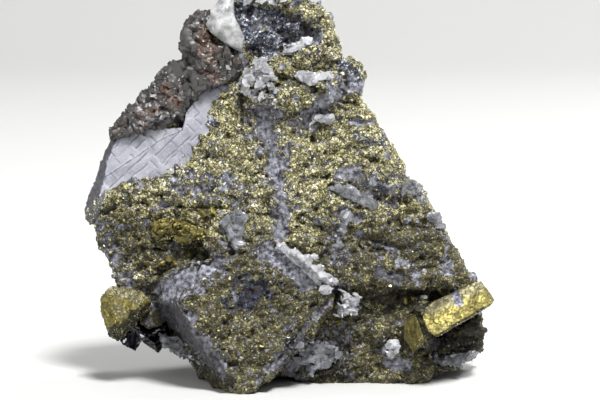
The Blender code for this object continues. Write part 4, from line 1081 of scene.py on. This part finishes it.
calciteLook = {
    "voxel": 0.28,
    "facets": (1.5, 0.16),
    "lumps": (2.6, 0.5),            # size and height in mm; they break up the solids' straight edges
    "blades": {"spacing": 1.9, "least": 1.2, "greatest": 2.4, "sunk": -0.2, "seed": 17},
    "petals": {"spacing": 1.5, "least": 0.7, "greatest": 1.5, "sunk": 0.1, "seed": 19},
    "sprinkle": {"spacing": 1.3, "least": 0.5, "greatest": 1.3, "sunk": 0.0, "seed": 18},
    "sprinkleShare": 0.8,
    "bladed": ("calcite_rosette",),
    "crusted": ("calcite_wedge_summit", "calcite_cluster_upper", "calcite_plate_upper", "calcite_flake_right",
                "calcite_edge_chip", "calcite_edge_knob"),
    "grey": ("calcite_vein_left", "calcite_cluster_base", "calcite_left_foot", "calcite_right_foot",
             "calcite_hollow_crystals", "calcite_edge_chip", "calcite_edge_knob", "calcite_streak_right"),
    "greyPlates": ("vein", "base", "foot", "border", "hollow", "streak"),
    # Large plates that face the front, as (across, up, half length, half width, turn in degrees)
    "plateThick": 0.2,              # half of a plate's thickness, as a share of its half width
    "plateLean": 0.45,              # how far a plate may lean, in radians
    "plateLift": 0.35,              # how far its middle stands over what it grows on, in mm
    "plates": {
        "cluster": [(-7.8, 94.2, 2.7, 1.8, -35), (-5.7, 93.0, 1.5, 1.1, -70), (-7.5, 90.6, 2.4, 1.3, 30),
                    (-9.3, 89.1, 1.8, 1.2, 40), (-10.8, 86.4, 1.6, 0.9, 80), (-8.7, 85.5, 1.8, 1.1, 75),
                    (-6.0, 88.8, 1.3, 0.8, -10), (-12.9, 92.7, 1.8, 1.5, 60), (-13.2, 89.4, 2.1, 1.5, -50),
                    (-11.4, 90.9, 1.5, 1.2, 10), (-14.7, 90.9, 1.5, 1.1, 70), (-10.2, 95.7, 1.5, 1.1, 20),
                    (-12.3, 86.7, 1.2, 0.9, 60)],
        "fin": [(3.6, 91.5, 2.4, 1.8, -55), (6.0, 90.3, 2.6, 1.7, -40), (9.3, 91.2, 3.2, 1.5, 8),
                (11.4, 91.2, 1.2, 1.1, 50)],
        "wedge": [(0.9, 99.3, 1.8, 0.9, 15), (3.3, 100.2, 2.1, 1.1, 35), (5.7, 102.0, 1.8, 1.1, 50)],
        "top": [(-13.2, 114.2, 2.8, 1.7, 10), (-10.4, 113.2, 1.6, 0.9, -55), (-8.4, 114.4, 2.4, 1.4, 30),
                (-5.2, 113.6, 2.0, 0.9, -15), (-2.0, 114.6, 2.2, 1.2, 20), (-11.7, 115.5, 2.1, 1.2, 0),
                (-8.4, 115.8, 2.1, 1.5, 60), (-5.4, 116.1, 2.1, 1.5, -40), (-2.7, 116.1, 1.8, 1.2, 20)],
        "flake": [(8.4, 79.2, 1.8, 0.9, 25), (10.5, 80.1, 1.8, 1.1, -10), (12.3, 79.5, 1.3, 0.8, 30),
                  (6.9, 77.7, 1.2, 0.6, 50)],
        "vein": [(-19.2, 48.3, 2.1, 1.5, 70), (-20.4, 50.1, 1.5, 0.9, 20), (-17.1, 48.9, 1.8, 1.2, 50),
                 (-15.6, 50.7, 1.5, 0.9, -30), (-17.7, 44.7, 2.4, 0.9, -75), (-16.5, 41.4, 2.1, 0.8, -80)],
        "ribbon": [(1.2, 38.7, 1.8, 1.1, -40), (3.3, 37.2, 1.8, 1.1, -35), (5.4, 35.4, 1.9, 1.1, -45),
                   (7.5, 33.9, 1.8, 1.1, -40), (9.3, 32.1, 1.8, 1.1, -50), (11.1, 30.3, 1.8, 1.1, -55),
                   (11.1, 27.9, 1.6, 0.9, 65)],
        "rosette": [(19.2, 23.7, 1.5, 0.5, 20), (18.3, 24.6, 1.5, 0.5, 75), (16.8, 24.3, 1.5, 0.5, 130),
                    (16.5, 22.8, 1.5, 0.5, 180), (17.1, 21.6, 1.5, 0.5, 230), (18.3, 21.0, 1.8, 0.5, 275),
                    (19.5, 21.9, 1.5, 0.5, 330)],
        "chips": [(40.2, 25.2, 1.8, 0.8, 5), (30.0, 10.5, 2.1, 1.2, -20), (31.8, 9.0, 1.5, 1.1, 40),
                  (49.5, 7.8, 2.4, 0.8, 0), (16.8, 49.8, 1.5, 0.9, 70)],
        "hollow": [(12.6, 57.9, 1.5, 0.9, -20), (15.0, 57.3, 1.8, 0.9, 15), (17.1, 58.5, 1.2, 0.8, 60),
                   (24.0, 54.0, 1.5, 1.2, 50), (25.5, 52.8, 1.2, 0.9, -20), (36.0, 59.7, 1.5, 1.2, 0),
                   (38.4, 60.9, 1.2, 0.9, 60), (37.5, 56.7, 1.5, 0.9, -60), (44.1, 49.5, 1.5, 0.9, -50)],
        "streak": [(14.4, 42.3, 1.5, 0.5, 75), (13.8, 39.6, 1.5, 0.4, 80), (13.5, 37.2, 1.3, 0.4, 70)],
        "base": [(3.0, 10.8, 1.8, 1.2, 30), (6.0, 12.3, 1.5, 1.2, -40), (9.6, 9.9, 1.8, 1.2, 60),
                 (12.9, 11.7, 1.5, 1.1, -20), (14.4, 7.8, 1.8, 1.2, 45), (2.4, 6.3, 1.8, 1.2, -30),
                 (6.0, 3.9, 1.8, 1.2, 10), (10.5, 5.1, 1.8, 1.2, -50), (0.6, 2.1, 1.5, 0.9, 0)],
        "foot": [(-37.2, 12.0, 1.8, 1.2, -10), (-34.5, 10.8, 1.8, 1.2, -30), (-31.8, 9.3, 1.5, 1.1, -40),
                 (-29.4, 7.2, 1.5, 0.9, -40), (-27.3, 5.7, 1.2, 0.9, -30)],
        "border": [(-44.4, 80.4, 1.5, 0.8, -25), (-42.0, 78.9, 1.8, 0.9, -15), (-39.6, 80.4, 1.5, 0.9, 35),
                   (-38.1, 78.6, 1.2, 0.8, -30), (-45.9, 81.6, 0.9, 0.6, -40)],
    },
}


def calciteMaterial(name, tint, veil, clear):
    # Calcite: milky, its edges letting light through, with glassy faces
    made, add, place, _ = newMaterial(name)
    cloud = add("TexNoise", {"Vector": place, "Scale": 1 / (2.5 * mm), "Detail": 4.0})
    grain = add("TexNoise", {"Vector": place, "Scale": 1 / (0.6 * mm), "Detail": 3.0})
    milk = add("ValToRGB", {0: cloud}, stops=[(0.38, tint), (0.66, veil)])
    bump = add("Bump", {"Height": grain, "Strength": 0.2, "Distance": 0.12 * mm})
    rough = add("MapRange", {0: grain, 3: 0.14, 4: 0.34})
    shader = add("BsdfPrincipled", {
        "Base Color": milk, "Roughness": rough, "IOR": 1.6,
        "Transmission Weight": clear, "Subsurface Weight": 0.4, "Subsurface Scale": 1.2 * mm,
        "Subsurface Radius": (1.0, 1.0, 1.0), "Normal": bump})
    add("OutputMaterial", {0: shader})
    return made


whiteCalcite = calciteMaterial("calcite, white blades", "#a4a5aa", "#dedee1", 0.35)
greyCalcite = calciteMaterial("calcite, grey and translucent", "#7a7c82", "#b2b3b8", 0.45)
milkyCalcite = calciteMaterial("calcite, milky crystal", "#a6a8a8", "#f0f0f0", 0.45)


def calcitePiece(node):
    summit = node == "calcite_summit_crystal"
    piece = remeshed(mergedCopy(node, camelName(node)), calciteLook["voxel"], 30 if summit else 1)
    mesh = piece.data
    spots = spotsOf(mesh)
    normals = normalsOf(mesh)
    size, height = calciteLook["facets"]
    relief = height * facetField(spots, size, 70)
    size, height = calciteLook["lumps"]
    relief += height * noiseField(spots, size, 72, 2)
    pushOut(mesh, spots, normals, relief * (0.3 if summit else 1))
    shadeByAngle(mesh, 60 if summit else 22)
    finish = greyCalcite if node in calciteLook["grey"] else milkyCalcite if summit else whiteCalcite
    dress(piece, finish, "calcite", node)
    if summit:
        return
    if node in calciteLook["crusted"]:      # its ends and top are let into the crust, which creeps over them
        behind = ramp((spots[:, 1] - spots[:, 1].min()) / mm, 1.0, 2.5)
        growDruse(piece.name + "Druse", mesh, behind * (1 - ramp(-normals[:, 1], 0.3, 0.6)), "coarse")
    cover = ramp(-normals[:, 1], -0.3, 0.2)
    if node in calciteLook["bladed"]:
        name, share, growth, sizes = "Blades", 1.0, bladeGrowth, calciteLook["blades"]
    else:
        name, share, growth, sizes = "Petals", 0.7, petalGrowth, calciteLook["petals"]
    growCrystals(piece.name + name, mesh, cover * share, growth, sizes, finish, "calcite")


def calcitePlates(name, places, finish):    # larger plates, each where the camera's ray meets the front
    random = np.random.default_rng(73)
    shapes = []
    for across, up, length, width, turn in places:
        place = metBy(shownFront, across, up)
        leanUp, leanAside = random.uniform(-1, 1, size=2) * calciteLook["plateLean"]
        spots = bladeSpots(random, width / length, calciteLook["plateThick"] * width / length, 6)
        if place:
            facing = Matrix.Rotation(leanAside, 3, "Z") @ Matrix.Rotation(math.pi / 2 + leanUp, 3, "X")
            facing = facing @ Matrix.Rotation(math.radians(turn), 3, "Z")
            place = place - Vector((0, calciteLook["plateLift"] * mm, 0))
            shapes.append([place + facing @ Vector(spot) * (length * mm) for spot in spots])
    plates = hullPiece(name, shapes)
    shadeByAngle(plates.data, 30)
    dress(plates, finish, "calcite")


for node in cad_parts:
    if node.startswith("calcite"):
        calcitePiece(node)
sprinkled = fieldOf(rock.data, "calcite") * (1 - fieldOf(rock.data, "back")) * calciteLook["sprinkleShare"]
growCrystals("calciteSprinkle", rock.data, sprinkled, petalGrowth, calciteLook["sprinkle"], greyCalcite,
             "calcite")
places = {True: [], False: []}      # whether they are grey
for group, plates in calciteLook["plates"].items():
    places[group in calciteLook["greyPlates"]] += plates
calcitePlates("calcitePlatesGrey", places[True], greyCalcite)
calcitePlates("calcitePlatesWhite", places[False], whiteCalcite)
print("calcite grown")

for shape in stubs + blades + petals:
    bpy.data.objects.remove(shape)


# Studio

studioLook = {
    "floor": "#c2c2c0",
    "sky": [(0.0, "#5a5c60"), (0.5, "#7c7e82"), (0.62, "#a5a8ac"), (1.0, "#f2f4f6")],
    "skyStrength": 0.5,
    "cove": (-2.2, 1.2, 0.8, 3.0),      # front, start of the bend, its radius and the height, in m
    "coveHalf": 4.0,                    # half of its width in m
    "lampAim": (0, 0, 0.055),
    # name: (azimuth, elevation, distance, size, power in W)
    "lamps": {
        "key": (26, 58, 2.4, 0.6, 100.0),
        "fill": (-50, 34, 2.0, 0.8, 9.0),
        "rim": (128, 40, 1.6, 0.4, 16.0),
    },
}


def addCove():
    front, bend, radius, height = studioLook["cove"]
    profile = [(front, 0.0)]
    profile += [(bend + radius * math.sin(turn), radius - radius * math.cos(turn))
                for turn in np.linspace(0, math.pi / 2, 17)]
    profile.append((bend + radius, height))
    work = bmesh.new()
    half = studioLook["coveHalf"]
    left, right = [[work.verts.new((side, y, z)) for y, z in profile] for side in (-half, half)]
    for near in range(len(profile) - 1):
        work.faces.new((left[near], right[near], right[near + 1], left[near + 1])).smooth = True
    floor = pieceFrom(work, "studioFloor")
    made, add, _, _ = newMaterial("studio floor, matt paper")
    shader = add("BsdfPrincipled", {
        "Base Color": hexColour(studioLook["floor"]), "Roughness": 0.85})
    add("OutputMaterial", {0: shader})
    floor.data.materials.append(made)


def addStudio():
    addCove()
    world = bpy.data.worlds.new("studio")
    bpy.context.scene.world = world
    world.use_nodes = True
    world.node_tree.nodes.clear()
    add = partial(addNode, world.node_tree)
    way = add("TexCoord").outputs["Generated"]
    height = add("SeparateXYZ", {0: way}).outputs["Z"]
    share = add("MapRange", {0: height, 1: -1.0, 2: 1.0})
    sky = add("ValToRGB", {0: share}, stops=studioLook["sky"])
    glow = add("Background", {"Color": sky, "Strength": studioLook["skyStrength"]})
    add("OutputWorld", {0: glow})
    for name, (azimuth, elevation, distance, size, power) in studioLook["lamps"].items():
        data = bpy.data.lights.new(name, "AREA")
        data.size = size
        data.energy = power
        lamp = bpy.data.objects.new(name, data)
        turn, rise = math.radians(azimuth), math.radians(elevation)
        outward = Vector((math.sin(turn) * math.cos(rise), -math.cos(turn) * math.cos(rise), math.sin(rise)))
        lamp.location = Vector(studioLook["lampAim"]) + outward * distance
        lamp.rotation_euler = outward.to_track_quat("Z", "Y").to_euler()
        bpy.context.scene.collection.objects.link(lamp)
    bpy.context.scene.view_settings.view_transform = "Standard"


addStudio()
print("studio set")
